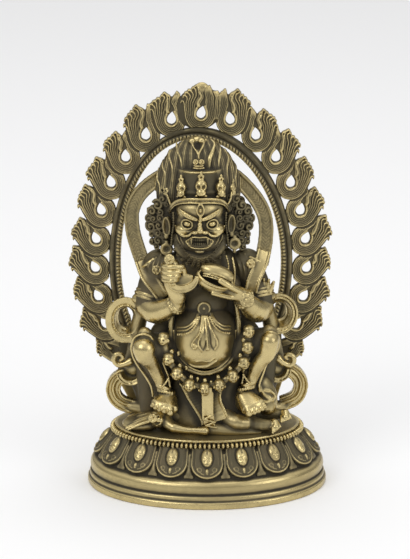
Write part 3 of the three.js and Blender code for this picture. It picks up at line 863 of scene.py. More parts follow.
class Relief:
    """A flat sheet of cells: how far each lies outside the plan, and how high the face stands."""

    def __init__(self, x, z):
        self.x, self.z = x, z
        self.plan = np.full((len(x), len(z)), FAR, np.float32)
        self.height = np.zeros((len(x), len(z)), np.float32)
        self.shine = np.full((len(x), len(z)), STRAND_SHINE, np.float32)

    def window(self, points, margin):
        """The cells near some points, and where they lie."""
        low, high = points.min(0) - margin, points.max(0) + margin
        i = slice(*np.searchsorted(self.x, (low[0], high[0])))
        j = slice(*np.searchsorted(self.z, (low[1], high[1])))
        return (i, j), self.x[i][:, None], self.z[j][None, :]

    def plate(self, outline):
        """Lays a flat dark plate over whatever is there, and leaves a groove round it."""
        cells, x, z = self.window(outline, PLATE_MARGIN)
        distance = polygon_distance(outline, x, z)
        self.height[cells] = np.where(distance < PLATE_GROOVE, 0, self.height[cells])
        self.shine[cells] = np.where(distance < PLATE_GROOVE, PLATE_SHINE, self.shine[cells])
        self.plan[cells] = np.minimum(self.plan[cells], distance)

    def pierce(self, outline):
        """Cuts a hole with an outline right through."""
        cells, x, z = self.window(outline, PLATE_MARGIN)
        self.plan[cells] = np.maximum(self.plan[cells], -polygon_distance(outline, x, z))

    def stroke(self, points, radii, height, shine):
        """Draws a raised strand along points, with a radius at each."""
        cells, x, z = self.window(points, radii.max() + 1.2)
        best = np.full((x.shape[0], z.shape[1]), NOWHERE)
        size = np.zeros(best.shape)
        for start, end, r0, r1 in zip(points[:-1], points[1:], radii[:-1], radii[1:]):
            along, dx, dz = edge_place(x, z, start, end)
            away = np.hypot(dx, dz)
            closer = away < best
            best = np.where(closer, away, best)
            size = np.where(closer, r0 + (r1 - r0) * along, size)
        distance = best - size
        raised = height * (1 - np.clip(best / np.maximum(size, TINY), 0, 1) ** 2)
        old = self.height[cells]
        self.shine[cells] = np.where((raised > old) & (distance < 0), shine, self.shine[cells])
        self.height[cells] = np.maximum(old, raised)
        self.plan[cells] = smooth_min(self.plan[cells], distance.astype(np.float32), 0.35)


# One flame's plate round its drop, as [away from the arch, up]
FLAME_PLATE = [
    [-7, -1], [-6.4, -4.4], [-3.8, -7.4], [0.4, -8.8], [5, -7.9], [8, -4.2], [9, 1],
    [9.2, 5.4], [8.6, 8.4], [6.4, 10.8], [4.2, 11.6], [1.9, 12.8], [-0.4, 11.8], [-2.2, 11.2],
    [-4.2, 12.8], [-6.2, 10.6], [-6.9, 5], [-7, -1],
]
DROP = [
    [-1.2, 3.5], [-2.3, 0.6], [-2, -1.8], [-0.1, -3], [1.9, -1.9], [1.9, 0.3], [0.6, 2.2], [-1.2, 3.5],
]
DROP_RIM = [[1.9, 2.6], [2.7, 0.7], [2.7, -1.9], [0, -3.9], [-2.7, -2.3], [-3, 0.6], [-2.2, 3.4]]
FLAME_LEAF = [[1.1, 3.6], [1.5, 5.2], [0.9, 7], [0.1, 8.8], [0.3, 10.8]]
# The hooked outer ends of a flame's strands, from the drop outwards
OUTER_TIPS = [
    [[3.2, 3.2], [2.3, 6.4], [1, 9.6], [0.7, 12], [1.8, 14], [3, 13.2]],
    [[4.2, 3.6], [3.4, 7.2], [2.1, 10.2], [2.2, 12.2], [3.6, 12.8], [4.2, 11.6]],
    [[5.2, 4], [4.7, 7.4], [3.8, 9.6], [4.2, 11], [5.6, 11.6], [6.2, 10.4]],
    [[6.2, 4], [6, 7], [5.5, 8.8], [6.2, 10.2], [7.4, 10.4], [7.9, 9.4]],
    [[7.3, 3.6], [7.2, 5.8], [7.1, 7.6], [7.9, 8.9], [8.9, 8.8], [9.2, 7.8]],
    [[8.1, 3], [8.2, 4.6], [8.7, 6], [9.6, 6.2], [9.9, 5.2]],
]


def curve(rows, spacing):
    """A smooth flat line through rows of [away from the arch, up]."""
    return smooth_path([[away, up, 0] for away, up in rows], spacing)[:, :2]


def flame_strands(sizes):
    """The strands of one flame, from the tip beside the arch round the drop to the outer tips."""
    strands = []
    for index, outer in enumerate(OUTER_TIPS):
        reaches_arch = index < len(OUTER_TIPS) - 1
        inner = [[-3.9 - 0.4 * index, 13.8 - 0.6 * abs(index - 1.4)], [-3.2 - 0.62 * index, 11.8],
                 [-2.3 - 0.85 * index, 9.4], [-2.5 - 0.87 * index, 6], [-3.0 - 0.85 * index, 3]]
        angles = np.radians(np.linspace(180 if reaches_arch else 250, 360, 9))
        bowl = [[-0.1 + (3.4 + 0.88 * index) * cos(angle), (4.3 + 0.88 * index) * sin(angle)]
                for angle in angles]
        strands.append((inner if reaches_arch else []) + bowl + outer)
    strands.append([[1.1, 3.4], [0, 6.2], [-0.9, 9], [-0.7, 11.6], [0.7, 12.8]])
    radius = STRAND_FULLNESS * sizes.strand_pitch / MM
    for rows in strands:
        line = curve(rows, 0.5)
        ends = np.minimum(np.arange(len(line)), np.arange(len(line))[::-1]) * 0.5
        yield line, radius * np.clip(0.8 + 0.13 * ends, 0, 1)


def draw_flame(relief, sizes, step, side):
    """Draws the flame that is so many steps down from the top, and gives back its drop's outline."""
    half = ARCH_INNER + BAND_WIDTH + FLAME_OFFSET
    table = np.linspace(0, pi, FLAME_LINE_SAMPLES)
    run = run_table(table, np.hypot(half[0] * np.cos(table), half[1] * np.sin(table)))
    pitch = FLAME_SPAN * run[-1] / (sizes.flames_per_side + 1)
    angle = np.interp(step * pitch, run, table)
    middle = ARCH_CENTRE + [side * half[0] * sin(angle), half[1] * cos(angle)]
    # No two flames stand or sway quite alike
    sway = 2.3 * step + side
    tilt = FLAME_TILT * step + (0.05 * sin(sway) if step else 0)
    away = np.array([side * cos(tilt), -sin(tilt)])
    rise = np.array([side * sin(tilt), cos(tilt)])
    lowest = step > sizes.flames_per_side
    scale = (LOWEST_SCALE if lowest else 1.0) * pitch / DRAWN_PITCH
    # Farther down the arch, the flame above pushes the branch beside the arch outwards
    push = 0.2 * step

    def placed(rows):
        rows = np.asarray(rows, float)
        pushed = rows[:, 0] + push * smooth_step(0, 10, rows[:, 1]) * smooth_step(1, -3, rows[:, 0])
        pushed = pushed + 0.5 * np.sin(0.75 * rows[:, 1] + sway) * smooth_step(4, 9, rows[:, 1])
        taller = rows[:, 1:2] * (1 + 0.08 * cos(1.7 * sway) * smooth_step(4, 10, rows[:, 1:2]))
        return middle + scale * (pushed[:, None] * away + taller * rise)

    relief.plate(placed(curve(FLAME_PLATE, 1.2)))
    if step == 0:
        # The top flame reaches its neighbour on the far side too
        relief.plate(placed(curve(FLAME_PLATE, 1.2) * [1.24, 0.94]))
        for reach in (7.4, 8.3, 9.2):
            rows = [[-0.9 * reach, -3], [-reach, 1], [-reach, 6], [0.5 - reach, 10.6]]
            line = placed(curve(rows, 0.5))
            relief.stroke(line, np.full(len(line), 0.5), sizes.strand_relief / MM, STRAND_SHINE)
    for line, radii in flame_strands(sizes):
        relief.stroke(placed(line), radii, sizes.strand_relief / MM, STRAND_SHINE)
    leaf = placed(curve(FLAME_LEAF, 0.4))
    relief.stroke(leaf, np.linspace(1.1, 0.6, len(leaf)), LEAF_RELIEF, 0.4)
    if lowest:
        return None
    rim = placed(curve(DROP_RIM, 0.4))
    relief.stroke(rim, np.full(len(rim), 0.78), LEAF_RELIEF, 0.2)
    return placed(curve(DROP, 0.4))


def aureole_relief(sizes, x, z):
    """The aureole drawn flat: its flames, and its band and legs over them."""
    relief = Relief(x, z)
    steps = range(sizes.flames_per_side + 1, -1, -1)
    drops = [
        draw_flame(relief, sizes, step, side) for step in steps for side in SIDES if step or side < 0]
    for drop in drops:
        if drop is not None:
            relief.pierce(drop)
    gx, gz = x[:, None], z[None, :]
    inner = oval_distance(gx, gz, ARCH_INNER, ARCH_LEAN)
    outer = oval_distance(gx, gz, ARCH_INNER + BAND_WIDTH, ARCH_LEAN / 2)
    spring = ARCH_CENTRE[1] - SPRING_DOWN * ARCH_INNER[1]
    band = np.maximum(np.maximum(outer, -inner), spring - gz)
    for side in SIDES:
        foot = LEGS_MIDDLE + side * LEG_AWAY
        top = ARCH_CENTRE[0] + side * SPRING_OUT * ARCH_INNER[0]
        outline = [
            [foot - side * 4, DECK - 0.2], [foot + side * 4, DECK - 0.2], [top + side * 6.2, DECK + 16],
            [top + side * 5.6, spring], [top + side * 6.2, spring + 6], [top + side * 0.6, spring + 3],
            [top, spring],
        ]
        band = np.minimum(band, polygon_distance(outline, gx, gz))
    # Bead strip beside the opening, a groove, and a plain strip outside it
    run = oval_run(gx, gz, ARCH_INNER + 1.5)
    strip = np.where(gz > spring - 2, inner, FAR)
    cushion = np.clip(1 - (saw(run, STRIP_BEAD_PITCH) / 0.92) ** 2, 0, 1) ** 0.5
    cushion = 1.1 * cushion * np.clip(1 - ((strip - 1.5) / 1.35) ** 2, 0, 1) ** 0.5
    plain = 0.7 * np.clip(1 - ((strip - 4.5) / 1.4) ** 4, 0, 1)
    leg_face = np.where(gz <= spring - 2, 0.6, 0)
    face = np.maximum(np.maximum(cushion, plain), leg_face)
    on_band = band < 0.3
    relief.height = np.where(on_band, face, relief.height).astype(np.float32)
    band_shine = np.where(cushion > 0.3, -0.1, -0.3)
    relief.shine = np.where(on_band, band_shine, relief.shine).astype(np.float32)
    relief.plan = np.minimum(np.where(inner < 0, FAR, relief.plan), band).astype(np.float32)
    return relief


def aureole_clay(sizes):
    """The aureole, front and back."""
    grain = sizes.grain / MM
    margin = np.array([1.5, 1.2, 1.5])
    low = AUREOLE_LOW - margin
    low[2] = DECK - 1.2
    clay = Clay(low, AUREOLE_HIGH + margin, [grain, 0.4, grain])
    x, y, z = clay.axes
    relief = aureole_relief(sizes, x, z)
    front = AUREOLE_MIDDLE - FRONT_THICKNESS - relief.height
    back = AUREOLE_MIDDLE + BACK_THICKNESS + 0.4 * relief.height
    slab = np.maximum(front[:, None, :] - y[None, :, None], y[None, :, None] - back[:, None, :])
    clay.field = -smooth_min(-relief.plan[:, None, :], -slab.astype(np.float32), 0.5)
    clay.shine[:] = relief.shine[:, None, :]
    clay.polish = 0.6
    clay.egg([-2.6, AUREOLE_MIDDLE, 199.6], [3.6, 1.9, 3.4], 0.3)
    clay.cut_below(DECK - 0.1)
    return clay


# Small things

# The lowest and highest corner of each block of the figure's clay
HEAD_BLOCK = ([-31.5, -22.5, 113.5], [25, 12.6, 181])
BODY_BLOCK = ([-40, -29.5, 30.6], [38.5, 12.2, 126])
SCARF_BLOCK = ([-54.6, -8, 30.6], [54.6, 12.3, 167.5])
LYING_BLOCK = ([-46.5, -28, 30.6], [47, 6, 50])
CURL_STEPS = 14
# How much lower a thing shows in the camera's view for each millimetre that it stands forward
SINK = tan(LOOK_DOWN)


class Place:
    """A spot on the clay with its own right, back and up, for things built in their own terms."""

    def __init__(self, clay, centre, turn=0.0, roll=0.0, size=1.0):
        right = np.array([cos(turn), sin(turn), 0])
        back = np.array([-sin(turn), cos(turn), 0])
        up = np.array([0, 0, 1])
        self.axes = np.array([
            right * cos(roll) + up * sin(roll), back,
            up * cos(roll) - right * sin(roll)])
        self.clay = clay
        self.centre = np.array(centre, float)
        self.size = size

    def egg(self, centre, radii, blend=0.2, carve=False):
        """Adds or carves an ellipsoid."""
        middle = self.centre + self.size * np.array(centre, float) @ self.axes
        self.clay.egg(middle, self.size * np.ones(3) * radii, blend, self.axes, carve)

    def limb(self, stations, blend=0.2, carve=False, spacing=0.8):
        """Adds or carves a round limb."""
        rows = np.array(stations, float)
        rows[:, :3] = self.centre + self.size * rows[:, :3] @ self.axes
        rows[:, 3] *= self.size
        self.clay.limb(rows, blend, carve=carve, spacing=spacing)


def on_egg(centre, radii, lift, rows):
    """Rows of [x, z, and more] laid on the front of an egg, standing out by lift."""
    laid = []
    for x, z, *more in rows:
        inside = 1 - ((x - centre[0]) / radii[0]) ** 2 - ((z - centre[2]) / radii[2]) ** 2
        laid.append([x, centre[1] - radii[1] * sqrt(max(inside, 0)) - lift, z, *more])
    return laid


def seen(y, rows):
    """Rows of [x, height in the camera's view, and more] laid at one depth."""
    return [[x, y, level - SINK * y, *more] for x, level, *more in rows]


def thick(rows, radius):
    """The rows with one radius added to each."""
    return [[*row, radius] for row in rows]


def seen_each(rows):
    """Rows of [x, height in the camera's view, y, and more], each laid at its own depth."""
    return [[x, y, level - SINK * y, *more] for x, level, y, *more in rows]


def ribbed(clay, rows, radius, pitch, depth):
    """A round cord with ribs across it."""
    def section(run, side, out, over, size):
        swell = depth * np.cos(run * FULL_TURN / pitch)
        return np.sqrt(side ** 2 + out ** 2 + over ** 2) - radius - swell

    clay.sweep(smooth_path(rows, 0.8), section, radius + depth + 0.8, 0.2)


def ring_rows(centre, normal, radius, thickness, steps=12):
    """Stations of a closed ring that stands across its normal."""
    across, rise, _ = frame_across(normal)
    angles = [FULL_TURN * i / steps for i in range(steps + 1)]
    return [[*(np.array(centre) + radius * (across * cos(angle) + rise * sin(angle))), thickness]
            for angle in angles]


def mirrored(rows, side):
    """Rows of [x, and more] taken to the other side of the middle, where side is -1."""
    return [[side * x, *more] for x, *more in rows]


def curl(clay, centre, radius, thickness, hand, turn, roll=0.0, turns=1.6):
    """A lock of hair wound up flat."""
    rows = []
    for i in range(CURL_STEPS + 1):
        share_in = i / CURL_STEPS
        angle = hand * turns * FULL_TURN * share_in
        reach = radius * (1 - 0.85 * share_in)
        rows.append([reach * cos(angle), -0.5 * radius * share_in, reach * sin(angle),
                     thickness * (1 - 0.3 * share_in)])
    Place(clay, centre, turn, roll).limb(rows, 0.1)


def bracelet(clay, centre, normal, radius):
    """Two rings round a wrist or an ankle with a row of beads between them."""
    normal = unit_vector(normal)
    clay.polish = 0.6
    for shift in (-1.25, 1.25):
        clay.limb(ring_rows(np.array(centre) + shift * normal, normal, radius, 0.65), 0.2, spacing=1)
    clay.polish = 0.9
    clay.beads(ring_rows(centre, normal, radius + 0.35, 1, steps=16), 0.95)


def rosette(clay, centre, normal, radius, petals=8):
    """A round flower with a boss in its middle."""
    def relief(out, angle):
        share_out = out / radius
        petal = 0.5 + 0.5 * np.cos(petals * angle)
        rim = 0.55 * petal * bump_at(share_out, 0.75, 0.2)
        boss = 0.9 * bump_at(share_out, 0, 0.32)
        return 0.6 + rim + boss - 0.3 * bump_at(share_out, 0.42, 0.1)

    clay.polish = 0.8
    clay.disc(centre, normal, radius, relief)


def ribbon(clay, stations, width, thickness, face=(0, -1, 0), border=0.5, hatch=0.0, blend=0.3):
    """A flat band with a raised border, and a herringbone between the borders if hatch is set."""
    path = smooth_path(stations, 1)

    def section(run, side, out, over, size):
        half = 0.5 * width * size
        edge = half - np.abs(side)
        level = 0.5 * thickness + border * smooth_step(1.5, 1, edge)
        if hatch:
            wave = np.cos((run + 1.1 * np.abs(side)) * FULL_TURN / 1.75)
            level = level + hatch * wave * smooth_step(1.4, 1.8, edge)
        return np.maximum(np.maximum(-edge, np.abs(out) - level), np.abs(over) - 0.1)

    size = path[:, 3].max() if path.shape[1] > 3 else 1.0
    clay.sweep(path, section, 0.5 * width * size + 1.4, blend, face)


def trumpet(clay, middle, outer, inner, depth, angles, band, wall=1.7):
    """A turn of the scarf: a flat band in front, then a throat that narrows to the back."""
    front, back = depth
    reach = np.array([outer[0] + 2, 0, outer[1] + 2])
    low = np.array([middle[0], middle[1] + front - 2, middle[2]]) - reach
    high = np.array([middle[0], middle[1] + back + 2, middle[2]]) + reach
    cells, (x, y, z) = clay.window(low, high)
    dx, dz, dy = x - middle[0], z - middle[2], y - middle[1]
    away = np.sqrt(dx * dx + dz * dz) + TINY
    edge = 1 / np.sqrt((dx / away / outer[0]) ** 2 + (dz / away / outer[1]) ** 2)
    inward = edge - away
    width = 0.5 * (outer[0] + outer[1]) - inner
    fall = (back - front - 1) / (width - band)
    level = front + 0.12 * np.minimum(inward, band) + fall * np.maximum(inward - band - 0.3, 0)
    level = level + 0.9 * bump_at(inward - band, 0.35, 0.4)
    for share_in in (0.3, 0.85):
        level = level - 0.5 * bump_at(inward - band, share_in * (width - band), 0.4)
    slant = np.where(inward > band + 0.3, 1 / hypot(1, fall), 0.9)
    shell = np.abs(dy - level - 0.5 * wall) * slant - 0.5 * wall
    start, end = (radians(angle) for angle in angles)
    turned = np.mod(np.arctan2(dz, dx) - start, FULL_TURN)
    past = np.where(turned <= end - start, 0,
                    np.minimum(turned - (end - start), FULL_TURN - turned)) * away
    distance = np.maximum(np.maximum(shell, -inward), inward - width)
    distance = np.maximum(distance, past - 0.2)
    clay.lay(cells, distance.astype(np.float32), 0.4, False)


# Head

FACE_X = -3.6
# Half the width of the standing hair at each of these heights
HAIR_HEIGHTS = [136, 141, 148, 155, 159, 164, 168.7, 171.7, 175.2, 177.4, 178.8]
HAIR_HALVES = [13, 18.5, 20.8, 21.3, 20.7, 19, 16.2, 13.9, 9.7, 6.2, 2]
HAIR_X = -4.4
HAIR_Y = 1.2


def on_hair(rows, lift, back=False):
    """Rows of [x, z, radius] laid on the standing hair."""
    laid = []
    for x, z, radius in rows:
        half = float(np.interp(z, HAIR_HEIGHTS, HAIR_HALVES))
        share_out = min(abs(x - HAIR_X) / half, 0.995)
        deep = 0.5 * half * sqrt(1 - share_out ** 2) + lift
        laid.append([x, HAIR_Y + (deep if back else -deep), z, radius])
    return laid


def standing_hair(clay):
    """The dome of hair, in fine upright strands with a few sharp locks."""
    clay.polish = 0.05
    low = np.array([HAIR_X - 24, HAIR_Y - 13, HAIR_HEIGHTS[0]])
    high = np.array([HAIR_X + 24, HAIR_Y + 13, HAIR_HEIGHTS[-1] + 2])
    cells, (x, y, z) = clay.window(low, high)
    half = np.interp(z, HAIR_HEIGHTS, HAIR_HALVES)
    slope = np.gradient(half, float(clay.grain[2]), axis=2)
    dx, dy = x - HAIR_X, y - HAIR_Y
    distance = egg_distance((dx, dy), (half, 0.5 * half)) / np.sqrt(1 + 0.3 * slope ** 2)
    comb = dx / np.sqrt(half / 21.0) + 0.5 * np.sin(z / 5.5)
    strands = 0.2 * np.cos(comb * FULL_TURN / 1.05) + 0.22 * np.cos(comb * FULL_TURN / 4.3)
    distance = np.maximum(distance - strands, z - HAIR_HEIGHTS[-1])
    clay.lay(cells, distance.astype(np.float32), 0.4, False)
    # Locks with a sharp crest; each is [x at its tip, its tip's height, x lower down, its lowest height]
    locks = [
        [-15, 176, -12.2, 161], [-18.8, 172, -17, 158], [-22, 166.8, -20.6, 155],
        [-24.6, 160.4, -23.4, 149], [6.6, 174.4, 6.2, 160], [10.6, 170.4, 10.4, 157],
        [14.4, 164.6, 15, 151],
    ]
    clay.polish = 0.15
    for top_x, top, low_x, low_z in locks:
        side = 1 if top_x > HAIR_X else -1
        bend = 0.5 * (top_x + low_x) - side * 0.7
        rows = [[top_x - side * 0.3, top, 0.2], [top_x, top - 2.4, 0.5],
                [bend, 0.5 * (top + low_z), 0.48], [low_x, low_z, 0.2]]
        clay.limb(on_hair(rows, 0.05), 0.5, spacing=1)
        clay.limb(on_hair(rows, 0.05, back=True), 0.5, spacing=1)
    # A leaf-like lock that hooks over at its tip
    clay.limb(on_hair([[1, 163.4, 0.3], [1.2, 169, 1.1], [2.8, 172.6, 0.9], [3.6, 175.6, 0.5],
                       [2.4, 177, 0.4]], 0.1), 0.5, spacing=0.8)
    # The two edges that meet in a point, the knot at the top and the clasp under it
    for side in SIDES:
        clay.limb(on_hair([[-4.6 + side * 4.0, 177.6, 0.55], [-4.4 + side * 2.2, 174.8, 0.5],
                           [-4.2, 171.2, 0.4]], 0.3), 0.2, spacing=1)
    clay.limb(on_hair([[-4.2, 171.6, 0.45], [-4.1, 169.4, 0.45]], 0.3), 0.2)
    clay.egg([-4.6, -4.6, 175.6], [1.9, 2.4, 2.2], 0.4, carve=True)
    clay.polish = 0.8
    clay.egg([-5.2, 0.6, 177], [3, 3, 2], 0.6)
    clay.egg([-7.4, -2.2, 177.2], [1.7, 1.6, 1.3], 0.4)
    clay.egg([-2.8, -2.4, 177.4], [1.8, 1.5, 1.3], 0.4)
    clay.polish = 0.35
    for side in SIDES:
        clay.limb(ring_rows([-4.1 + side * 1.5, -10.2, 168.4], (0, -1, 0), 1.05, 0.4), 0.15, spacing=0.6)
        clay.egg([-4.1 + side * 1.5, -10.1, 168.4], [0.5, 0.5, 0.5], 0.1)
    for z, half in ((166.2, 2.2), (165.1, 2.6)):
        clay.limb([[-4.1 - half, -9.6, z + 0.2, 0.4], [-4.1, -10.2, z, 0.5],
                   [-4.1 + half, -9.6, z + 0.2, 0.4]], 0.15)


def skull(clay, centre, turn, size):
    """A tall small skull with drilled sockets, a grin and a jewel on top."""
    spot = Place(clay, centre, turn, 0, size)
    clay.polish = 0.85
    spot.egg([0, 0.4, 1.1], [2.95, 2.6, 3.2], 0.4)
    spot.egg([0, -0.3, -2.2], [2.4, 2.2, 2.2], 0.5)
    spot.egg([0, 0.2, 4.5], [1.5, 1.3, 0.6])
    spot.egg([0, -0.2, 7.2], [0.8, 0.9, 1.3], 0.1)
    for side in SIDES:
        spot.egg([side * 2.0, 0, -4], [1.1, 0.9, 0.8])
        spot.egg([side * 0.95, -0.1, 5.8], [0.75, 0.8, 0.85], 0.1)
    clay.polish = -1.0
    for side in SIDES:
        spot.egg([side * 1.4, -2.4, 0.7], [1.2, 2.1, 1.35], 0.08, True)
    spot.egg([0, -2.8, -1], [0.45, 0.9, 0.5], 0.1, True)
    spot.limb([[-2.1, -1.6, -1.9, 0.4], [0, -2.7, -3, 0.5], [2.1, -1.6, -1.9, 0.4]], 0.1, True, 0.5)


def crown(clay):
    """The headband, the panels between the middle skulls and the five skulls."""
    clay.polish = -0.15
    low = np.array([FACE_X - 15, -17, 149.5])
    cells, (x, y, z) = clay.window(low, np.array([FACE_X + 15, 4, 165.5]))
    wall = np.sqrt(((x - FACE_X) / 12.4) ** 2 + ((y + 1) / 12.0) ** 2)
    wall = (wall - 1) * 12.0
    side = np.abs(x - FACE_X)
    ledge = 0.8 * bump_at(z, 163.7, 0.45) * smooth_step(8.6, 7.4, side)
    ledge = ledge + 0.5 * bump_at(z, 153.4, 1)
    distance = np.maximum(wall - ledge, np.abs(z - 157) - 7.1)
    clay.lay(cells, distance.astype(np.float32), 0.5, False)
    band = [[-18.6, -5.6, 143.4], [-17.3, -9.2, 146.8], [-14.6, -12.6, 149.7], [-10, -15.8, 151.2],
            [FACE_X, -17.4, 151.5], [2.8, -15.8, 151.2], [7.2, -12.8, 149.9], [9.6, -9.2, 147.2],
            [10.8, -5.6, 144]]
    clay.polish = -0.5
    clay.limb([[x, y + 1.1, z - 0.95, 0.85] for x, y, z in band], 0.2, spacing=1)
    clay.polish = 0.7
    clay.limb(thick(band, 0.48), 0.1, spacing=1)
    clay.limb([[x, y, z - 1.95, 0.42] for x, y, z in band], 0.1, spacing=1)
    skull(clay, [-2.9, -14.6, 156.4], 0, 1)
    skull(clay, [-12.6, -11.2, 154.8], -0.5, 0.9)
    skull(clay, [6.8, -11.2, 155], 0.5, 0.9)
    # The outer two are seen side on, so that little more than their jewels shows
    skull(clay, [-19.8, -4.8, 152.4], -1.3, 0.62)
    skull(clay, [12.8, -4.8, 153.4], 1.3, 0.62)
    clay.polish = 0.6
    for start, bend, end in (([-19.6, -7, 151], [-18.4, -7.8, 148], [-17.8, -7.8, 145.6]),
                             ([12, -7, 152.4], [11.6, -7.8, 149.6], [10.2, -8, 146.4])):
        clay.limb([[*start, 0.5], [*bend, 0.6], [*end, 0.3]], 0.15)


def face(clay):
    """The wrathful face with its three eyes."""
    clay.polish = 0.85
    clay.egg([FACE_X, -4.6, 137], [12.2, 12, 14.8])
    clay.egg([FACE_X, -8.6, 144.4], [11.6, 8.6, 8], 0.8)
    for side in SIDES:
        clay.egg([FACE_X + side * 7.2, -11.4, 135], [5, 4.9, 3.4], 0.6)
    clay.polish = -0.35
    clay.egg([FACE_X, -9.4, 128.6], [10.2, 7.4, 6.4], 0.8)
    # Eyes: a hollow, a ball in it and a lid round it
    for side in SIDES:
        spot = Place(clay, [FACE_X + side * 6.1, -15.4, 138.5], side * 0.3, side * 0.22)
        clay.polish = -0.2
        spot.egg([0, -1.4, 0], [2.7, 2.6, 2.2], 0.25, True)
        clay.polish = 0.85
        spot.egg([0, 0.2, 0.1], [1.95, 1.7, 1.5], 0.1)
        clay.polish = -0.1
        lids = [[2.85 * cos(angle), -0.9 + 0.5 * abs(cos(angle)), 2.35 * sin(angle), 0.45]
                for angle in np.linspace(0, FULL_TURN, 13)]
        spot.limb(lids, 0.2)
        spot.limb([[-3.5, 0.2, -1.6, 0.3], [-1.6, -0.6, -3.2, 0.5], [1.8, -0.6, -3.3, 0.5],
                   [3.8, 0.4, -1.4, 0.3]], 0.3)
    # Slanted brows that lie on the lids, with drilled dots
    for side in SIDES:
        brow = [[FACE_X + side * 1.7, -17.9, 141.3, 0.85], [FACE_X + side * 4.2, -17.6, 142.3, 1.15],
                [FACE_X + side * 7.0, -16.4, 143.6, 1.2], [FACE_X + side * 9.4, -14.4, 145.1, 0.85]]
        clay.polish = 0.9
        clay.limb(brow, 0.2, spacing=0.8)
        for x, y, z, radius in smooth_path(brow, 2)[1:-1]:
            clay.egg([x, y - radius, z], 0.48, 0.1, carve=True)
    # The upright eye on the forehead, pointed above
    third = [[-3.2 + 1.8 * sin(a), -17.5, 145.9 + 2.5 * cos(a) + 0.5 * cos(a) ** 5, 0.42]
             for a in np.linspace(0, FULL_TURN, 17)]
    clay.polish = 0.0
    clay.egg([-3.2, -17.9, 145.7], [1.5, 1.2, 2.2], 0.2, carve=True)
    clay.polish = 0.85
    clay.limb(third, 0.2, spacing=0.8)
    clay.egg([-3.2, -17, 145.6], [0.8, 0.8, 1.2], 0.1)
    # A short nose with a knob at its root and a wide flat base
    clay.limb([[-3.2, -17.4, 143, 0.7], [-3.4, -17.2, 140.6, 0.9], [-3.5, -17.8, 138.4, 1],
               [-3.45, -19, 136, 1.7]], 0.4, spacing=1)
    clay.egg([-3.5, -18.4, 139.2], [1.15, 0.9, 0.9], 0.2)
    for side in SIDES:
        clay.egg([-3.4 + side * 2.5, -18, 134.9], [1.7, 1.8, 1.1], 0.3)
        clay.egg([-3.4 + side * 1.7, -19.2, 133.9], [0.7, 1.2, 0.45], 0.12, carve=True)
    # The cheek's wavy lower edge, the groove under it and the folds beside the mouth
    for side in SIDES:
        fold = [[-3.5 + side * 4.0, -17.7, 135, 0.35], [-3.5 + side * 5.4, -17.4, 133.2, 0.62],
                [-3.5 + side * 8.2, -15.9, 132.6, 0.7], [-3.5 + side * 10.8, -13.4, 134, 0.55],
                [-3.5 + side * 12.2, -10.6, 136.6, 0.35]]
        clay.polish = 0.85
        clay.limb(fold, 0.3, spacing=0.8)
        clay.polish = -0.3
        clay.limb([[x, y - 0.7, z - 1.3, 0.6] for x, y, z, _ in fold[1:-1]], 0.25, carve=True)
        clay.polish = -0.6
        for shift in (0, 1.7):
            clay.limb([[FACE_X + side * (11.4 - shift), -11.6 - shift, 132.2, 0.25],
                       [FACE_X + side * (10.8 - shift), -12.4 - shift, 130.2, 0.38],
                       [FACE_X + side * (9.4 - shift), -13.6 - 0.8 * shift, 127.8, 0.2]], 0.4)
    # A wide six-sided mouth: thin lips, teeth in the middle, fangs and dark corners
    clay.polish = -0.4
    clay.egg([-3.7, -17.8, 129.4], [6, 3.6, 2.3], 0.2, carve=True)
    clay.egg([-3.7, -18.4, 129.4], [4.8, 3.2, 2.9], 0.2, carve=True)
    lips = [[-10.4, -15.1, 129.6], [-8.6, -16.4, 131.2], [-6.8, -17.3, 132.3], [-3.7, -17.9, 132.3],
            [-0.6, -17.3, 132.3], [1.2, -16.4, 131.2], [3, -15.1, 129.6], [0.4, -16.5, 126.9],
            [-3.7, -17.6, 126.6], [-7.8, -16.5, 126.9], [-10.4, -15.1, 129.6]]
    clay.polish = 0.4
    clay.limb(thick(lips, 0.4), 0.15, spacing=0.8)
    clay.polish = -0.6
    for i in range(-3, 4):
        x, y = -3.7 + 0.92 * i, -15.9 + 0.06 * i * i
        clay.limb([[x, y, 131.8, 0.42], [x, y - 0.3, 130.2, 0.4]], 0.05)
        clay.limb([[x, y, 127.2, 0.42], [x, y - 0.2, 128.8, 0.36]], 0.05)
    for side in SIDES:
        clay.limb([[-3.7 + side * 3.9, -16.2, 131.9, 0.7], [-3.7 + side * 4.1, -17, 128.4, 0.2]], 0.1)
        clay.limb([[-3.7 + side * 5.1, -15.6, 127.4, 0.6], [-3.7 + side * 5.2, -16.2, 130.4, 0.2]], 0.1)
    clay.polish = -0.6
    clay.egg([-3.7, -16, 124.8], [2.4, 1.6, 1], 0.5)


def beard(clay):
    """Rows of small curls round the jaw, down on to the collar."""
    clay.polish = -0.3
    clay.limb([[-15, -6, 129, 2.4], [-12.4, -9.6, 123.6, 2.8], [FACE_X, -12.4, 120, 3.2],
               [5.2, -9.6, 123.6, 2.8], [7.8, -6, 129, 2.4]], 0.8, spacing=1.5)
    for row in range(4):
        count = 17 - row
        for i in range(count):
            angle = pi * (1.06 + 0.88 * (i + 0.5 * (row % 2) + 0.25) / count)
            reach = 10.3 + 1.45 * row
            x = FACE_X + reach * cos(angle)
            z = 130.6 + (reach - 0.4) * sin(angle)
            y = -15.9 + 0.045 * (x - FACE_X) ** 2 + 0.35 * row
            clay.polish = -0.9
            ring = ring_rows([x, y, z], (0.05 * (x - FACE_X), -1, -0.3), 0.62, 0.36, steps=6)
            clay.limb(ring, 0.05, spacing=0.7)


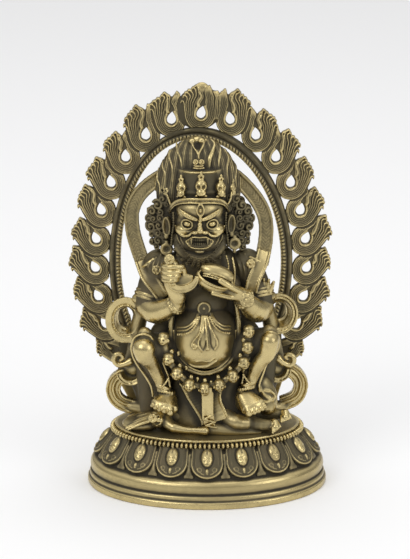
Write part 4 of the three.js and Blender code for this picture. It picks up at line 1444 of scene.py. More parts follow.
def ear(clay, side, centre):
    """A long ear with a thick rim round a dark hollow."""
    spot = Place(clay, centre, side * 0.35)
    clay.polish = 0.0
    spot.egg([0, 1, 0], [2.2, 1.7, 4.9], 0.4)
    clay.polish = -0.5
    spot.egg([0, -0.8, 0.2], [1.25, 1.6, 3.7], 0.15, True)
    clay.polish = -0.6
    rim = [[1.75 * sin(a) + side * 0.2 * cos(a), -0.5, 4.5 * cos(a), 0.45]
           for a in np.linspace(-0.92 * pi, 0.92 * pi, 13)]
    spot.limb(rim)
    spot.egg([0, -0.4, -4.9], [1.2, 1.2, 1.5], 0.3)


def side_hair(clay):
    """The hair beside the face: a dense mass of curls of several sizes."""
    for side in SIDES:
        clay.polish = -0.3
        clay.egg([FACE_X + side * 16.0, 2, 136], [7.2, 7.2, 12], 0.8)
        clay.egg([FACE_X + side * 21.0, 1.6, 137], [4.2, 4.4, 7.4], 0.6)
        clay.egg([FACE_X + side * 17.0, 1.2, 127], [5.6, 5.6, 4.6], 0.6)
        # [x, height, radius], from the temple out and down
        curls = [
            [14.6, 149.8, 1.7], [18, 148.6, 1.9], [16.4, 146.2, 1.3], [20.6, 145.4, 2.2],
            [19.4, 142, 1.5], [23.4, 141.8, 2.1], [19.6, 138.8, 1.6], [22.6, 138, 1.6],
            [25, 137.6, 1.8], [20, 135, 1.9], [24, 134, 2.2], [20.6, 131, 1.7],
            [23.4, 129.8, 1.9], [17.6, 130.6, 1.3], [20.4, 127.2, 1.9], [23.6, 126.2, 1.5],
            [17, 127, 1.4], [21.4, 123.8, 1.5], [14.8, 143.6, 1.1], [15, 131, 1.1],
        ]
        for i, (x, z, radius) in enumerate(curls):
            y = -5.6 + 0.035 * max(x - 14, 0) ** 2
            clay.polish = -0.9
            curl(clay, [FACE_X + side * x, y, z], 1.3 * radius, 0.34 * radius, side * (1 if i % 2 else -1),
                 side * 0.4, 0.9 * i, turns=1.3)
            clay.egg([FACE_X + side * x, y + 1.4, z], [radius, 1.6, radius], 0.2)
        # Curls behind, plainer
        for x, z in ((15.6, 146), (20.2, 144.4), (23.4, 140.6), (17.4, 141), (21.8, 136.4),
                     (14.6, 136.2), (18, 132.4), (22.4, 131.8), (15.4, 128.4), (20, 127.6)):
            y = 9.4 - 0.3 * max(x - 15, 0) - 0.012 * (z - 136) ** 2
            curl(clay, [FACE_X + side * x, y, z], 2.3, 0.8, side, pi)
        # Locks that sweep up from the temple to the crown
        for i in range(4):
            clay.limb([[FACE_X + side * (13.0 + i), -7.0 + 0.9 * i, 144.6 - i, 0.5],
                       [FACE_X + side * (15.2 + 1.1 * i), -6.0 + 1.1 * i, 148.2, 0.6],
                       [FACE_X + side * (16.2 + 1.2 * i), -4.8 + i, 152.6, 0.35]], 0.2)


def earring(clay, centre):
    """A thick ring with a bead under it."""
    clay.polish = -0.9
    x, y, z = centre
    clay.egg([x, y + 0.9, z], [2, 0.6, 2])
    clay.polish = -0.5
    clay.limb(ring_rows(centre, (0.1, -1, 0), 2.35, 0.95), 0.2, spacing=0.9)
    clay.limb(ring_rows(centre, (0.1, -1, 0), 1.2, 0.4, steps=10), 0.1, spacing=0.6)
    clay.egg([x, y, z + 3.6], [1, 1, 0.9])
    clay.egg([x, y, z - 3.9], [0.9, 0.9, 1.1])


def head_clay(sizes):
    """The head with its hair, crown, ears and earrings."""
    clay = Clay(*HEAD_BLOCK, sizes.head_grain / MM)
    standing_hair(clay)
    side_hair(clay)
    face(clay)
    beard(clay)
    crown(clay)
    ear(clay, -1, [-19.9, -6.6, 135])
    ear(clay, 1, [11.9, -6.6, 136.2])
    earring(clay, [-20, -6.6, 123.4])
    earring(clay, [13.6, -6.6, 126.2])
    clay.polish = -0.9
    for side, x in ((-1, -16.6), (1, 9.4)):
        clay.beads([[x, -9.4, 143.2], [x - side * 0.2, -9, 137], [x + side * 0.6, -8.8, 131],
                    [x + side * 1.0, -8.4, 126]], 0.62)
    # Neck, down into the body
    clay.polish = -0.3
    clay.limb([[-3.4, -4, 126, 8.6], [-2.6, -3.6, 114.5, 10.5]], 0.8)
    return clay


# Body

BELLY = ([-1.1, -9.5, 81], [15.8, 16, 16.2])
LOW_BELLY = ([-1.1, -12, 75.2], [14.4, 12.5, 12])


def torso(clay):
    """Chest, belly, hips and the skirt's column."""
    clay.polish = -0.1
    clay.egg([-1.6, 0.2, 99], [24, 11.2, 27])
    clay.egg([-0.8, 2, 73], [29, 9.3, 19], 1.5)
    clay.limb([[-2, -4, 114, 10.5], [-3.4, -5, 124, 8.6]], 1, spacing=3)
    for side, x in ((-1, -23.5), (1, 19.6)):
        clay.egg([x, -1, 113], [8.8, 8.6, 8.8], 1.5)
        clay.egg([-1.6 + side * 9.6, -9, 105], [9, 4.6, 6.6], 1.5)
        # Folds of cloth over the shoulder
        clay.polish = -0.55
        for i in range(5):
            fold = [[x + side * (-5.6 + 2.4 * i), 120.6 - 0.7 * abs(i - 1.6) ** 2, 0.5],
                    [x + side * (-3.4 + 2.2 * i), 115, 0.8], [x + side * (-2.6 + 1.8 * i), 108.6, 0.5]]
            clay.limb(on_egg([x, -1, 113], [8.8, 8.6, 8.8], 0.1, fold), 0.4, spacing=1.2)
        clay.polish = -0.1
    clay.polish = -0.25
    clay.egg([-1.3, -6, 97.6], [12, 12.2, 11], 1.5)
    clay.polish = 1.0
    clay.egg(*BELLY, 0.6)
    clay.egg(*LOW_BELLY, 2.5)
    # The belly is rubbed bright, and its shine is cut back above the strings of beads, so it is darker
    # there
    cells, (x, _, z) = clay.window(np.array([-18, -28, 74]), np.array([16, -8, 106]))
    above = z + 0.72 * np.abs(x - BELLY[0][0])
    clay.shine[cells] -= (1.15 * smooth_step(90, 94, above)).astype(np.float32)
    clay.polish = 0.0
    clay.limb([[-0.4, 0, 64, 23.6], [-0.4, 0, 28, 23.6]], 1, flat=0.45, spacing=6)
    # The back: a furrow down the spine, a belt, and pleats under it
    clay.limb([[-2.2, 12.4, 116, 1], [-1.8, 12.2, 98, 1.3], [-1.2, 12.4, 82, 1]], 1.5, carve=True)
    belt = [[x - 0.8, 1.9 + 9.3 * sqrt(0.97 - (x / 29) ** 2), 69.4, 0.7] for x in range(-26, 27, 4)]
    clay.limb(belt, 0.2, spacing=1.5)
    clay.polish = -0.3
    for x in range(-18, 19, 4):
        y = 9.9 * sqrt(1 - (x / 23.6) ** 2)
        clay.limb([[0.92 * x, y, 66, 0.6], [x, y, 50, 1.2], [1.04 * x, y, 28, 1.5]], 1.2, spacing=2)
    # Cloth between the legs and the scarf behind them
    clay.polish = -0.3
    for fall in ([[-31, -3.6, 72, 5.4], [-30, -3.6, 56, 5.4], [-28.4, -3, 38, 5.4]],
                 [[31, -3.6, 75, 5.4], [29, -3.6, 58, 5.4], [27.6, -3, 40, 5.4]]):
        clay.limb(fall, 1, spacing=3)
    # The under skirt and the apron over it
    clay.polish = 0.35
    skirt = [[0.5, -6, 60, 17], [0.5, -9.4, 48, 18], [0.5, -11, 34, 19]]
    clay.limb(skirt, 1, flat=0.42, spacing=4)
    apron = [[-2, -10, 58, 9.5], [-0.5, -12.4, 46, 9], [1.5, -14.4, 34, 8.4]]
    clay.limb(apron, 0.5, flat=0.5, spacing=3)


def arms(clay):
    """Upper arms, forearms and elbows."""
    clay.polish = 0.0
    clay.limb([[-23.4, -1, 113, 7.8], [-27.4, -4, 103, 7.2], [-29.2, -6, 94.6, 6.4]], 1, spacing=2.5)
    clay.limb([[19.4, -1, 114, 7.8], [24.4, -4, 103, 7.2], [26.6, -6, 94, 6.4]], 1, spacing=2.5)
    clay.polish = 0.95
    clay.limb([[-29, -6.6, 93.6, 6.3], [-25, -11.6, 92.6, 6.2], [-20, -15.6, 95.4, 5],
               [-15.2, -18.4, 98.8, 3.9]], 0.8, spacing=2)
    clay.limb([[26.8, -6.6, 93, 6.3], [24.2, -12, 93.4, 6.2], [20.6, -16.6, 98, 4.9],
               [17.6, -19, 102.2, 3.9]], 0.8, spacing=2)
    # Armlets, each with a crest, and the bracelets
    for spot, normal, radius in (([-28.6, -4.4, 98.4], (-0.35, -0.35, -1), 7.2),
                                 ([25.6, -4.4, 99.8], (0.25, -0.35, -1), 7.2)):
        clay.polish = 0.65
        for shift in (-1.7, 0, 1.7):
            middle = np.array(spot) + shift * unit_vector(normal)
            ring = ring_rows(middle, normal, radius, 0.62 if shift else 0.85, steps=16)
            clay.limb(ring, 0.3, spacing=1.4)
    clay.polish = 0.95
    for i in range(-2, 3):
        petal = Place(clay, [28.2 + 1.7 * i, -8.4, 104.0 - 0.3 * i * i], 0, -0.16 * i)
        petal.egg([0, 0, 1.2], [1.15, 1.2, 3.6])
        petal.egg([0, -1, 4.4], [0.8, 0.9, 1])
        aside = abs(i)
        point = [-31.6 + 0.9 * i, -8.2 + 0.9 * aside, 101.6 - 0.7 * aside]
        clay.egg(point, [1, 1, 2.0 - 0.4 * aside], 0.2)
    bracelet(clay, [-15.4, -17.8, 98.2], (0.6, -0.5, 0.55), 4.3)
    bracelet(clay, [18.4, -18.2, 101], (-0.55, -0.5, 0.65), 4.4)
    rosette(clay, [19.6, -22.6, 101.6], (0.1, -1, 0.1), 3.6)
    for x, y, z in ((-25, -9.4, 113.4), (21.6, -9.4, 116.8)):
        rosette(clay, [x, y, z], (0.05, -1, 0.1), 2.3, 6)


def finger(clay, rows, radius):
    """One finger through [x, y, z] rows, narrower towards its tip."""
    last = len(rows) - 1
    clay.limb([[*row, radius * (1 - 0.16 * i / last)] for i, row in enumerate(rows)], 0.25, spacing=0.9)


def knife_hand(clay):
    """The fist at the viewer's left with its curved knife."""
    # Knife: its handle, the ring on top, and a blade of two nested crescents
    clay.polish = 0.5
    clay.limb([[-18.2, -23.4, 121, 1.5], [-16.6, -23.8, 111, 1.5]], 0.2)
    middle = np.array([-12.4, -22.4, 115.4])

    def crescent(reach, half, start, end, thick, lift, polish, bevel):
        angles = np.radians(np.linspace(start, end, 15))
        rows = [[middle[0] + reach * cos(a), middle[1] - lift, middle[2] + reach * sin(a),
                 sin(pi * (0.12 + 0.78 * i / 14)) ** 0.6] for i, a in enumerate(angles)]

        def section(run, side, out, over, size):
            edge = half * size - np.abs(side)
            level = thick + bevel * smooth_step(0.9, 0.4, edge)
            return np.maximum(np.maximum(-edge, np.abs(out) - level), np.abs(over) - 0.1)

        clay.polish = polish
        clay.sweep(smooth_path(rows, 0.8), section, half + 1.6, 0.2)

    crescent(4, 2.9, 178, 352, 1.1, 0, 0.15, 0)
    crescent(7.6, 1.9, 196, 352, 1.5, 0.6, 0.92, 0.35)
    clay.polish = 0.9
    clay.limb([[-18.8, -24, 112.2, 0.5], [-17.6, -24.6, 110.4, 0.9], [-15.8, -24.4, 110.6, 0.6]], 0.2)
    rosette(clay, [-18.4, -24.2, 123], (0, -1, 0.15), 2.6, 6)
    clay.egg([-18.4, -24.4, 123], [1, 1.2, 1], 0.2)
    # Hand
    clay.polish = 0.92
    clay.limb([[-14.8, -18.8, 100, 3.6], [-14.6, -20, 103.4, 4.2], [-17, -20.2, 108, 3.8],
               [-17.8, -19.6, 113, 3.9], [-17, -19.2, 118.4, 3.6]], 0.6, spacing=1.5)
    for i, (z, reach) in enumerate(((119.4, 1.4), (116.9, 0.4), (114.6, -0.4), (112.5, -1.2))):
        finger(clay, [[-21.4, -19.6, z - 0.2], [-20.8, -24.2, z], [-17, -26.4, z + 0.3],
                      [-13.6 + reach, -24.8, z + 0.1 * i], [-13.4 + reach, -22, z - 0.3]], 1.34)
    finger(clay, [[-14, -18.4, 108], [-11.6, -20.8, 112.6], [-11.2, -22.8, 116.6],
                  [-12.4, -24, 118.8]], 1.6)


def cup_hand(clay):
    """The hand at the viewer's right with its skull cup."""
    bowl = Place(clay, [3.8, -19.6, 110.6], roll=-0.36)
    clay.polish = 0.85
    bowl.egg([0, 0, 0], [10.2, 5.8, 5.8], 0.4)
    clay.polish = 0.08
    bowl.egg([-0.4, -2.6, 2.4], [8.4, 4.4, 3.9], 0.3, True)
    clay.polish = 0.8
    bowl.limb([[9.2 * cos(a), -0.4 - 5.2 * sin(a), 1.7 - 2.6 * sin(a), 0.75]
               for a in np.linspace(0, pi, 13)], 0.3)
    # The heaped contents, combed in fine curved lines
    clay.polish = 0.5
    bowl.egg([-0.4, 0.2, 4.4], [8.8, 4.6, 4], 0.4)
    clay.polish = 0.85
    for i in range(4):
        lift = 3.0 - 0.9 * i
        heap = [[x, -3.9 - 0.62 * i + 0.05 * x * x, 2.5 + lift - 0.028 * x * x, 0.34]
                for x in np.linspace(-7.6 + 0.3 * i, 7.2 - 0.3 * i, 5)]
        bowl.limb(heap, 0.2)
    # Hand
    clay.polish = 0.95
    palm = [[18, -18.8, 102.6, 3.7], [14.6, -20.4, 104.4, 4], [10.6, -20, 105.2, 3.8]]
    clay.limb(palm, 0.6, spacing=1.5)
    finger(clay, [[17.6, -20.6, 104.6], [14.2, -24, 107.4], [10.2, -26, 110.4], [6.6, -26.2, 112.8]], 1.75)
    for i, (x, y, z) in enumerate(((3, -23.4, 105.6), (6, -22, 104.2), (9.6, -20, 103.4))):
        finger(clay, [[15.4, -20.6 + i, 102.8], [11.6, -23.8 + 1.4 * i, 103.6 - 0.3 * i], [x, y, z]], 1.5)


def leg(clay, side, knee, radii, shin, hem):
    """A bent leg: the clothed thigh, the bare knee, the shin, and the hem that wraps the knee."""
    knee = np.array(knee)
    hip = np.array([-0.5 + side * 7, -3, 67])
    cover = knee + [-side * 0.4, 3.4, 1.2]
    clay.polish = 0.2
    clay.limb([[*hip, 10], [*(0.5 * (hip + cover) + [0, 0, 0.4]), 8.4], [*cover, radii[0] + 0.3]], 1,
              spacing=2.5)
    # Cloth that hangs on both sides of the shin
    for rows, inward in ((hem[:8], -side * 3.0), (hem[-6:], side * 2.6)):
        clay.limb([[x + inward, y + 3.8, z, 3.5] for x, y, z, _ in rows], 1, spacing=2)
    clay.polish = 1.0
    clay.egg(knee, radii, 0.3)
    clay.limb(shin, 0.9, spacing=1.4)
    clay.polish = 0.95
    clay.limb(hem, 0.3, spacing=1.2)


def ankle_bands(clay, side, collar, anklet):
    """The pointed cuff, the smooth collar under it and the ribbed anklet that lies on the foot."""
    clay.polish = 0.9
    clay.limb(ring_rows(collar, (-side * 0.28, 0.1, 1), 2.9, 1.25, steps=14), 0.25, spacing=1)
    x, y, z = collar
    point = [x - side * 2.8, y - 3, z + 5.6, 0.4]
    for side_x in (x + side * 0.6, x - side * 3.4):
        middle = [0.5 * (point[0] + side_x), y - 3.9, z + 2.8, 0.5]
        clay.limb([point, middle, [side_x, y - 4, z + 1.0, 0.5]], 0.2, spacing=1)
    clay.polish = 0.65
    ribbed(clay, ring_rows(anklet, (-side * 0.2, 0.2, 1), 3.7, 1, steps=16), 0.95, 1.3, 0.22)


def foot(clay, side, ankle, toes):
    """A broad foot with five toes; toes are [x, y, z] of their tips, the big one first."""
    clay.polish = 0.97
    heel = np.array(ankle, float)
    clay.limb([[*heel, 4.3], [heel[0], heel[1] - 1.4, heel[2] - 3.6, 4.7]], 0.6, spacing=1.2)
    # The instep falls from the ankle to the toes, and is broad on the inner side
    inner = np.array(toes[0], float) + [-side * 1.6, 3.4, 1]
    clay.limb([[*(heel + [-side * 1.4, -2, -0.6]), 3.4], [*inner, 2.4]], 0.9, spacing=1.2)
    for i, tip in enumerate(toes):
        tip = np.array(tip, float)
        root = heel + [side * (i - 1) * 0.8, -2.4, -0.4]
        ball = root + 0.68 * (tip - root) + [0, 0, 0.7]
        size = 1.75 if i == 0 else 1.35 - 0.05 * i
        clay.limb([[*root, 3.5], [*ball, 2.2]], 0.9, spacing=1.2)
        knuckle = ball + 0.55 * (tip - ball) + [0, 0, 0.5]
        clay.limb([[*ball, 1.9], [*knuckle, size], [*tip, size]], 0.22, spacing=0.9)
        clay.egg(tip + [0, -size * 0.75, size * 0.45], [size * 0.62, 0.5, size * 0.45], 0.1)


def ornaments(clay):
    """The clasp on the chest, the strings of beads, the tassels and the cord round the belly."""
    def relief(out, angle):
        return 0.8 + 0.7 * bump_at(out, 2.8, 0.45) + 0.8 * bump_at(out, 0, 0.9)

    clay.polish = -0.25
    clay.disc([-1.5, -18.2, 96.2], (0, -1, 0.12), 3.4, relief)
    for row in ([[-3.6, 93, 1], [-5.8, 88.4, 1], [-9.6, 84.8, 1], [-14.6, 82.6, 1]],
                [[1.2, 93, 1], [3.6, 88.6, 1], [7.2, 85.4, 1], [11.6, 83.6, 1]]):
        clay.polish = 0.9
        clay.beads(on_egg(*BELLY, 0.5, row), 0.62)
        clay.polish = 0.4
        for lift in (1.7, 3.1):
            clay.limb(on_egg(*BELLY, 0.35, [[x, z + lift, 0.5] for x, z, _ in row]), 0.15, spacing=1)
    # Tassels: cords that spread from the clasp, two dark leaves, and bright curls at their ends
    clay.polish = -0.4
    for low in (-1.9, 2.9):
        leaf = [[0.45 * low - 0.6, 88.4, 0.4], [0.9 * low, 84, 1.15], [1.08 * low, 80.4, 1.45],
                [1.1 * low, 77.2, 0.7]]
        clay.limb(on_egg(*BELLY, 0.1, leaf), 0.12, flat=0.8, spacing=0.9)
    clay.polish = 1.0
    for cord in ([[-2.4, 93], [-3, 88.4], [-4.4, 84.6], [-6.9, 81.2], [-7.6, 78.6], [-6.2, 77.2],
                  [-5, 78.6]],
                 [[-1.8, 93], [-2.2, 87], [-3.9, 82.6], [-4.2, 79.4], [-2.6, 76.2]],
                 [[-0.9, 93], [-0.3, 86], [0.2, 80], [0.3, 77.4]],
                 [[0, 93], [2.2, 87], [4.6, 82.8], [5.2, 79.6], [4, 77]]):
        clay.limb(on_egg(*BELLY, 0.55, thick(cord, 0.5)), 0.12, spacing=0.9)
    clay.egg(on_egg(*BELLY, 0.6, [[0.3, 77.8]])[0], [1, 0.7, 1.3], 0.1)
    clay.egg(on_egg(*BELLY, 0.5, [[-6.2, 79.2]])[0], [0.9, 0.6, 0.9], 0.1)
    # The folds over the navel
    clay.polish = 1.0
    lip = [[-9, 67.8, 0.35], [-6.2, 66.6, 0.6], [-2.4, 66.8, 0.65], [0.6, 67.4, 0.65], [2.6, 69, 0.6],
           [4.8, 70.4, 0.35]]
    clay.limb(on_egg(*LOW_BELLY, 0.2, lip), 0.3, spacing=1)
    clay.limb(on_egg(*LOW_BELLY, 0.5, [[x, z + 1.1, 0.35] for x, z, _ in lip[1:-1]]), 0.2, carve=True)
    over = [[-5.4, 70, 0.35], [-1.8, 71, 0.55], [1, 70.4, 0.55], [3.6, 72, 0.35]]
    clay.limb(on_egg(*LOW_BELLY, 0.2, over), 0.3, spacing=1)
    # The cord that hugs the belly, and a thin line inside it
    half = [[0, -16.4, 61.8], [6.6, -16, 63.4], [12, -15.2, 67.4], [15.4, -13.8, 74],
            [16.6, -12.4, 82], [16.4, -11.2, 90], [15.2, -9.6, 99]]
    clay.polish = 0.55
    cord = [[-1.1 - x, y, z] for x, y, z in reversed(half)] + [[-1.1 + x, y, z] for x, y, z in half[1:]]
    clay.limb(thick(cord, 1.35), 0.3, spacing=1.5)
    clay.polish = 0.8
    line = [[-1.1 + 0.93 * (x + 1.1), y - 1.6, z + 1.4, 0.55] for x, y, z in cord[2:-2]]
    clay.limb(line, 0.2, spacing=1.5)


def small_head(clay, centre, turn, size):
    """One of the severed heads on the garland."""
    spot = Place(clay, centre, turn, 0, size)
    clay.polish = 0.3
    spot.egg([0, 0, 0], [2.4, 2.3, 2.8], 0.3)
    clay.polish = -0.1
    spot.egg([0, 0.5, 1.7], [2.45, 2.3, 1.8], 0.2)
    clay.polish = 0.8
    spot.egg([0, -2.3, -0.3], [0.55, 0.8, 0.9], 0.2)
    spot.limb([[-1.7, -1.6, 1, 0.35], [0, -2.1, 0.7, 0.4], [1.7, -1.6, 1, 0.35]], 0.1, spacing=0.6)
    for side in SIDES:
        spot.egg([side * 1.0, -2.2, 0.3], [0.55, 0.7, 0.45], 0.1, True)
        spot.egg([side * 2.5, 0, -0.2], [0.6, 0.6, 1], 0.2)
    spot.limb([[-0.9, -1.9, -1.5, 0.3], [0.9, -1.9, -1.5, 0.3]], 0.1, True, 0.5)


def garments(clay):
    """The skirt's edges, the loin strap, the drapes outside the shins and the garland of heads."""
    clay.polish = 0.3
    apron = [[-1.9, 53, -13, 1], [-1.2, 46.6, -15.2, 0.76], [0.5, 41, -17, 0.6],
             [3.2, 35.2, -18.6, 0.56], [4.2, 32, -19.2, 0.6]]
    ribbon(clay, seen_each(apron), 24.6, 2.4, blend=0.8)
    # Loin strap with a bright edge and a zigzag foot
    clay.polish = 0.55
    ribbon(clay, seen(-21.4, [[0.1, 50], [0.3, 43], [0.4, 35.4]]), 4.8, 2.4, border=0.3)
    ribbon(clay, seen(-20.8, [[0.6, 36], [1.4, 29]]), 5.6, 1.8, border=0)
    clay.polish = 0.95
    for row in ([[2.7, 47], [2.7, 40], [2.7, 35.4]], [[2.7, 35.4], [-1.8, 33.2]],
                [[-1.8, 33.2], [4, 31.8]], [[4, 31.8], [-0.6, 29.9]],
                [[-0.6, 29.9], [4.6, 28.8]], [[-2.2, 46.6], [-2, 33.4]]):
        clay.limb(seen(-22.8, thick(row, 0.55)), 0.15, spacing=1)
    # The wave at the foot of the right drape
    clay.polish = 0.9
    for row in ([[26.4, 50.4], [27.9, 46.8], [30.2, 44.8], [31.8, 43.4], [29.6, 42], [26.8, 42.6]],
                [[28.8, 48.2], [32.2, 47.4], [34.2, 45], [33, 42.6]]):
        clay.limb(seen(-13, thick(row, 0.6)), 0.4, spacing=1)
    clay.polish = 0.3
    clay.limb([[27.4, -8.6, 54, 4.6], [30.6, -8.6, 47.6, 4.8], [30.6, -8.8, 42, 4.6]], 1, spacing=2)
    # Garland of heads
    heads = [[-21.6, 80.6], [-19.4, 70.2], [-15, 62.8], [-8.8, 56.8], [-1.2, 55], [6.2, 56.8],
             [12.8, 61.4], [18.4, 68.2], [20.2, 76.2], [20.8, 84.4]]
    for x, z in heads:
        small_head(clay, [x, -20.2 - 1.6 * cos(x / 22 * pi / 2), z], 0.02 * x, 1.08)
    clay.polish = 0.4
    clay.limb([[x, -18, z + 0.6, 1.6] for x, z in heads], 0.6, spacing=2)
    clay.polish = 0.6
    for x, z in heads[1:9]:
        clay.egg([x * 0.9, -18.8, z + 3.8], [1.2, 1.2, 1.5], 0.2)
        clay.egg([x * 0.9 + 3.2, -18.4, z + 2.6], [0.9, 0.9, 1.4], 0.2)


def shoulder_scarf(clay):
    """The scarf where it crosses the upper arms, with its cuffs."""
    clay.polish = 0.05
    left = [[-32.6, -2, 116], [-29.6, -8, 110], [-24.6, -10.8, 104], [-21.6, -11, 99.4]]
    ribbon(clay, left, 7, 1.6, face=(0.1, -1, 0.3))
    right = [[28.6, -2, 121], [26.4, -8, 115.4], [23.2, -10.8, 108.6], [21.6, -11.4, 103]]
    ribbon(clay, right, 6.8, 1.6, face=(0, -1, 0.3))
    clay.polish = 0.7
    clay.limb([[-33.4, -3, 111.4, 0.7], [-30.2, -6.6, 115.4, 0.8], [-26.6, -7, 118.4, 0.7]], 0.3)
    clay.limb([[21.4, -7.4, 119.4, 0.7], [26, -7, 117.2, 0.8], [30, -4.6, 114.8, 0.7]], 0.3)
    # Strings of beads that hang beside the beard
    clay.polish = 0.8
    clay.beads([[9.4, -10.6, 121.4, 1], [10.6, -12.8, 116, 1], [9, -13.6, 111.6, 1]], 0.62)
    clay.limb([[12.6, -10.4, 120, 0.5], [13.6, -12.6, 114, 0.6], [13.4, -13.6, 107, 0.5]], 0.2)
    clay.beads([[-17.2, -10.2, 113.6, 1], [-14, -13, 109.4, 1]], 0.62)


def body_clay(sizes):
    """The body, from the neck to the feet, with its clothes and what it holds."""
    clay = Clay(*BODY_BLOCK, sizes.body_grain / MM)
    torso(clay)
    garments(clay)
    hem_left = [[-27.1, 45, -12.4], [-27.3, 47.4, -12.6], [-28.3, 51, -12.8], [-31.2, 56.2, -12.8],
                [-34.6, 61.3, -12.6], [-36.6, 65.2, -12.6], [-37.6, 69.4, -13.2], [-37.2, 73, -14.6],
                [-35.6, 76.2, -16], [-31.9, 77.6, -16.8], [-28.2, 76.6, -17], [-25.8, 73, -16.4],
                [-23.8, 69, -15.6], [-22.4, 63.8, -14.6], [-20.6, 59, -13.8], [-19.4, 55.6, -13.4]]
    hem_right = [[26.4, 47.6, -12.6], [26.1, 51, -12.8], [27.1, 54.4, -12.8], [28.2, 57.6, -12.8],
                 [29.6, 61.6, -12.8], [32, 65, -12.8], [34.8, 68.6, -13.4], [35.8, 72, -14.6],
                 [35.6, 75.6, -16], [34.4, 77.8, -16.8], [31.6, 78.9, -17.2], [28.4, 77.8, -16.8],
                 [25.6, 75.2, -16.2], [23.8, 72, -15.6], [22.6, 68.8, -15], [20.4, 63.4, -14.2],
                 [18, 58, -13.6]]
    shin_left = [[-30.6, -18.8, 72, 5], [-28.9, -19, 70, 4.2], [-27.2, -18, 67, 3.5],
                 [-25.4, -16.6, 62.4, 3.1], [-23.4, -15.2, 57.4, 2.9], [-22.2, -14.6, 53.8, 3]]
    shin_right = [[30.6, -18.6, 76, 4.6], [29.6, -18.6, 72.6, 4.2], [26.8, -18, 69, 3.7],
                  [24.6, -16.8, 64.8, 3.4], [23, -15.4, 60.2, 3], [21.2, -14.6, 55.6, 3]]
    for side, knee, radii, shin, hem in (
            (-1, [-31.2, -18.6, 75.2], [5.8, 5.5, 5.6], shin_left, hem_left),
            (1, [31, -18.6, 79.3], [4.8, 5, 5], shin_right, hem_right)):
        leg(clay, side, knee, radii, shin, seen_each([[x, level, y - 1.4, 0.62] for x, level, y in hem]))
    foot(clay, -1, [-19.6, -14.4, 48.8],
         [[-18.2, -24.6, 44], [-21.2, -24.6, 44.8], [-23.6, -24, 45.4], [-25.6, -22.8, 46],
          [-27.2, -21.2, 46.6]])
    foot(clay, 1, [18.8, -14.4, 49.6],
         [[20.8, -24.8, 43.6], [23.4, -24.8, 44.2], [25.5, -24.2, 44.8], [27.4, -23, 45.4],
          [28.8, -21.4, 46]])
    ankle_bands(clay, -1, [-21.8, -14.8, 54.6], [-20.4, -14.8, 52])
    ankle_bands(clay, 1, [20.8, -14.8, 56.4], [19.6, -14.8, 53.8])
    arms(clay)
    ornaments(clay)
    shoulder_scarf(clay)
    cup_hand(clay)
    knife_hand(clay)
    clay.cut_below(DECK)
    return clay


# Scarf

def scarf_clay(sizes):
    """The long scarf: a halo behind the head, a loop at each elbow and folds down to the deck."""
    clay = Clay(*SCARF_BLOCK, sizes.scarf_grain / MM)
    clay.polish = -0.6
    halo = [[-30.4, 1, 110], [-34.6, 4, 121], [-37.2, 5.6, 131], [-37, 6, 141],
            [-31.5, 6, 150.5], [-19, 6, 159], [-4, 6, 162], [11, 6, 159], [22, 6, 149],
            [28.4, 6, 138], [29.4, 4.6, 127], [27.2, 1, 114]]
    ribbon(clay, halo, 7.4, 2.2, hatch=0.13)
    # Loops at the elbows
    clay.polish = 0.8
    trumpet(clay, [-40.9, 4, 84.6], [10.2, 12], 4.6, (-4.8, 3.6), (18, 322), band=3.6)
    trumpet(clay, [36.2, 4, 88], [9.6, 10.6], 4, (-4.8, 3.6), (-140, 158), band=1.6)
    clay.polish = 0.3
    for fall in ([[-29, 0, 98, 4.8], [-34, 1.4, 84, 3.8], [-35.6, 3, 70, 4.4], [-37, 3, 60, 5.4]],
                 [[27, 0, 98, 4.8], [31.4, 1.4, 85, 3.8], [33.2, 3, 71, 4.4], [34.6, 3, 60, 5.4]]):
        clay.limb(fall, 1, spacing=2.4)
    clay.limb([[-31.4, -4.6, 96.6, 3], [-35, -2, 96.4, 2.6]], 0.8)
    clay.limb([[29.4, -4.6, 97.6, 3], [32, -2, 97.8, 2.6]], 0.8)
    # The curled ends, the folds like cups under them, and the low loops with their two grooves
    hooks = ([[-38.6, 63, 1.9], [-41.6, 61.6, 1.7], [-45, 61.2, 1.4], [-46.9, 63.8, 1.3],
              [-45.8, 66.6, 1.2], [-43.2, 66.6, 1.1], [-42.2, 64.8, 1], [-43.6, 63.6, 0.8]],
             [[36, 64.4, 2.2], [38.6, 62.2, 1.9], [41.6, 61, 1.5], [43.6, 62.8, 1.4], [43.4, 65.4, 1.3],
              [41.2, 66.6, 1.2], [39.4, 65.6, 1.1], [40.4, 64.2, 0.8]])
    cups = (([-38.6, 1.6, 58], (-170, 60)), ([35.4, 1.6, 59.6], (-240, 0)))
    lows = ([[-38, 55.6], [-42.6, 55.2], [-46.4, 52.2], [-47.6, 47.6], [-46, 43.2], [-42.6, 40.4],
             [-37, 38.6]],
            [[37, 59.4], [41.8, 58.4], [45.4, 55.8], [47.5, 51.6], [46.9, 46.8], [44.2, 43],
             [38, 40.2]])
    for hook, (middle, angles), low in zip(hooks, cups, lows):
        clay.polish = 0.45
        ribbon(clay, seen(3.4, low), 7.4, 2.6, border=0.9)
        clay.limb(seen(1.6, thick(low, 0.8)), 0.5, spacing=1.4)
        clay.polish = -0.5
        clay.egg([middle[0], 6.4, middle[2]], [6.6, 4, 6.6], 0.6)
        clay.limb([[0.94 * middle[0], 5.4, 57, 4.6], [0.86 * middle[0], 4.4, 48, 4.4],
                   [0.78 * middle[0], 2.4, 38, 4.4]], 0.8, spacing=2)
        clay.polish = 0.55
        trumpet(clay, middle, [7.2, 7.2], 1.4, (-4.6, 4), angles, band=0.9, wall=1.5)
        clay.polish = 0.8
        clay.limb(seen(-3.4, hook), 0.3, spacing=1.1)
    clay.polish = 0.3
    for side in SIDES:
        clay.limb(mirrored([[40, 4, 38, 2.6], [28, 0, 37, 5]], side), 0.8, spacing=2)
    clay.cut_below(DECK)
    return clay


# Lying figure

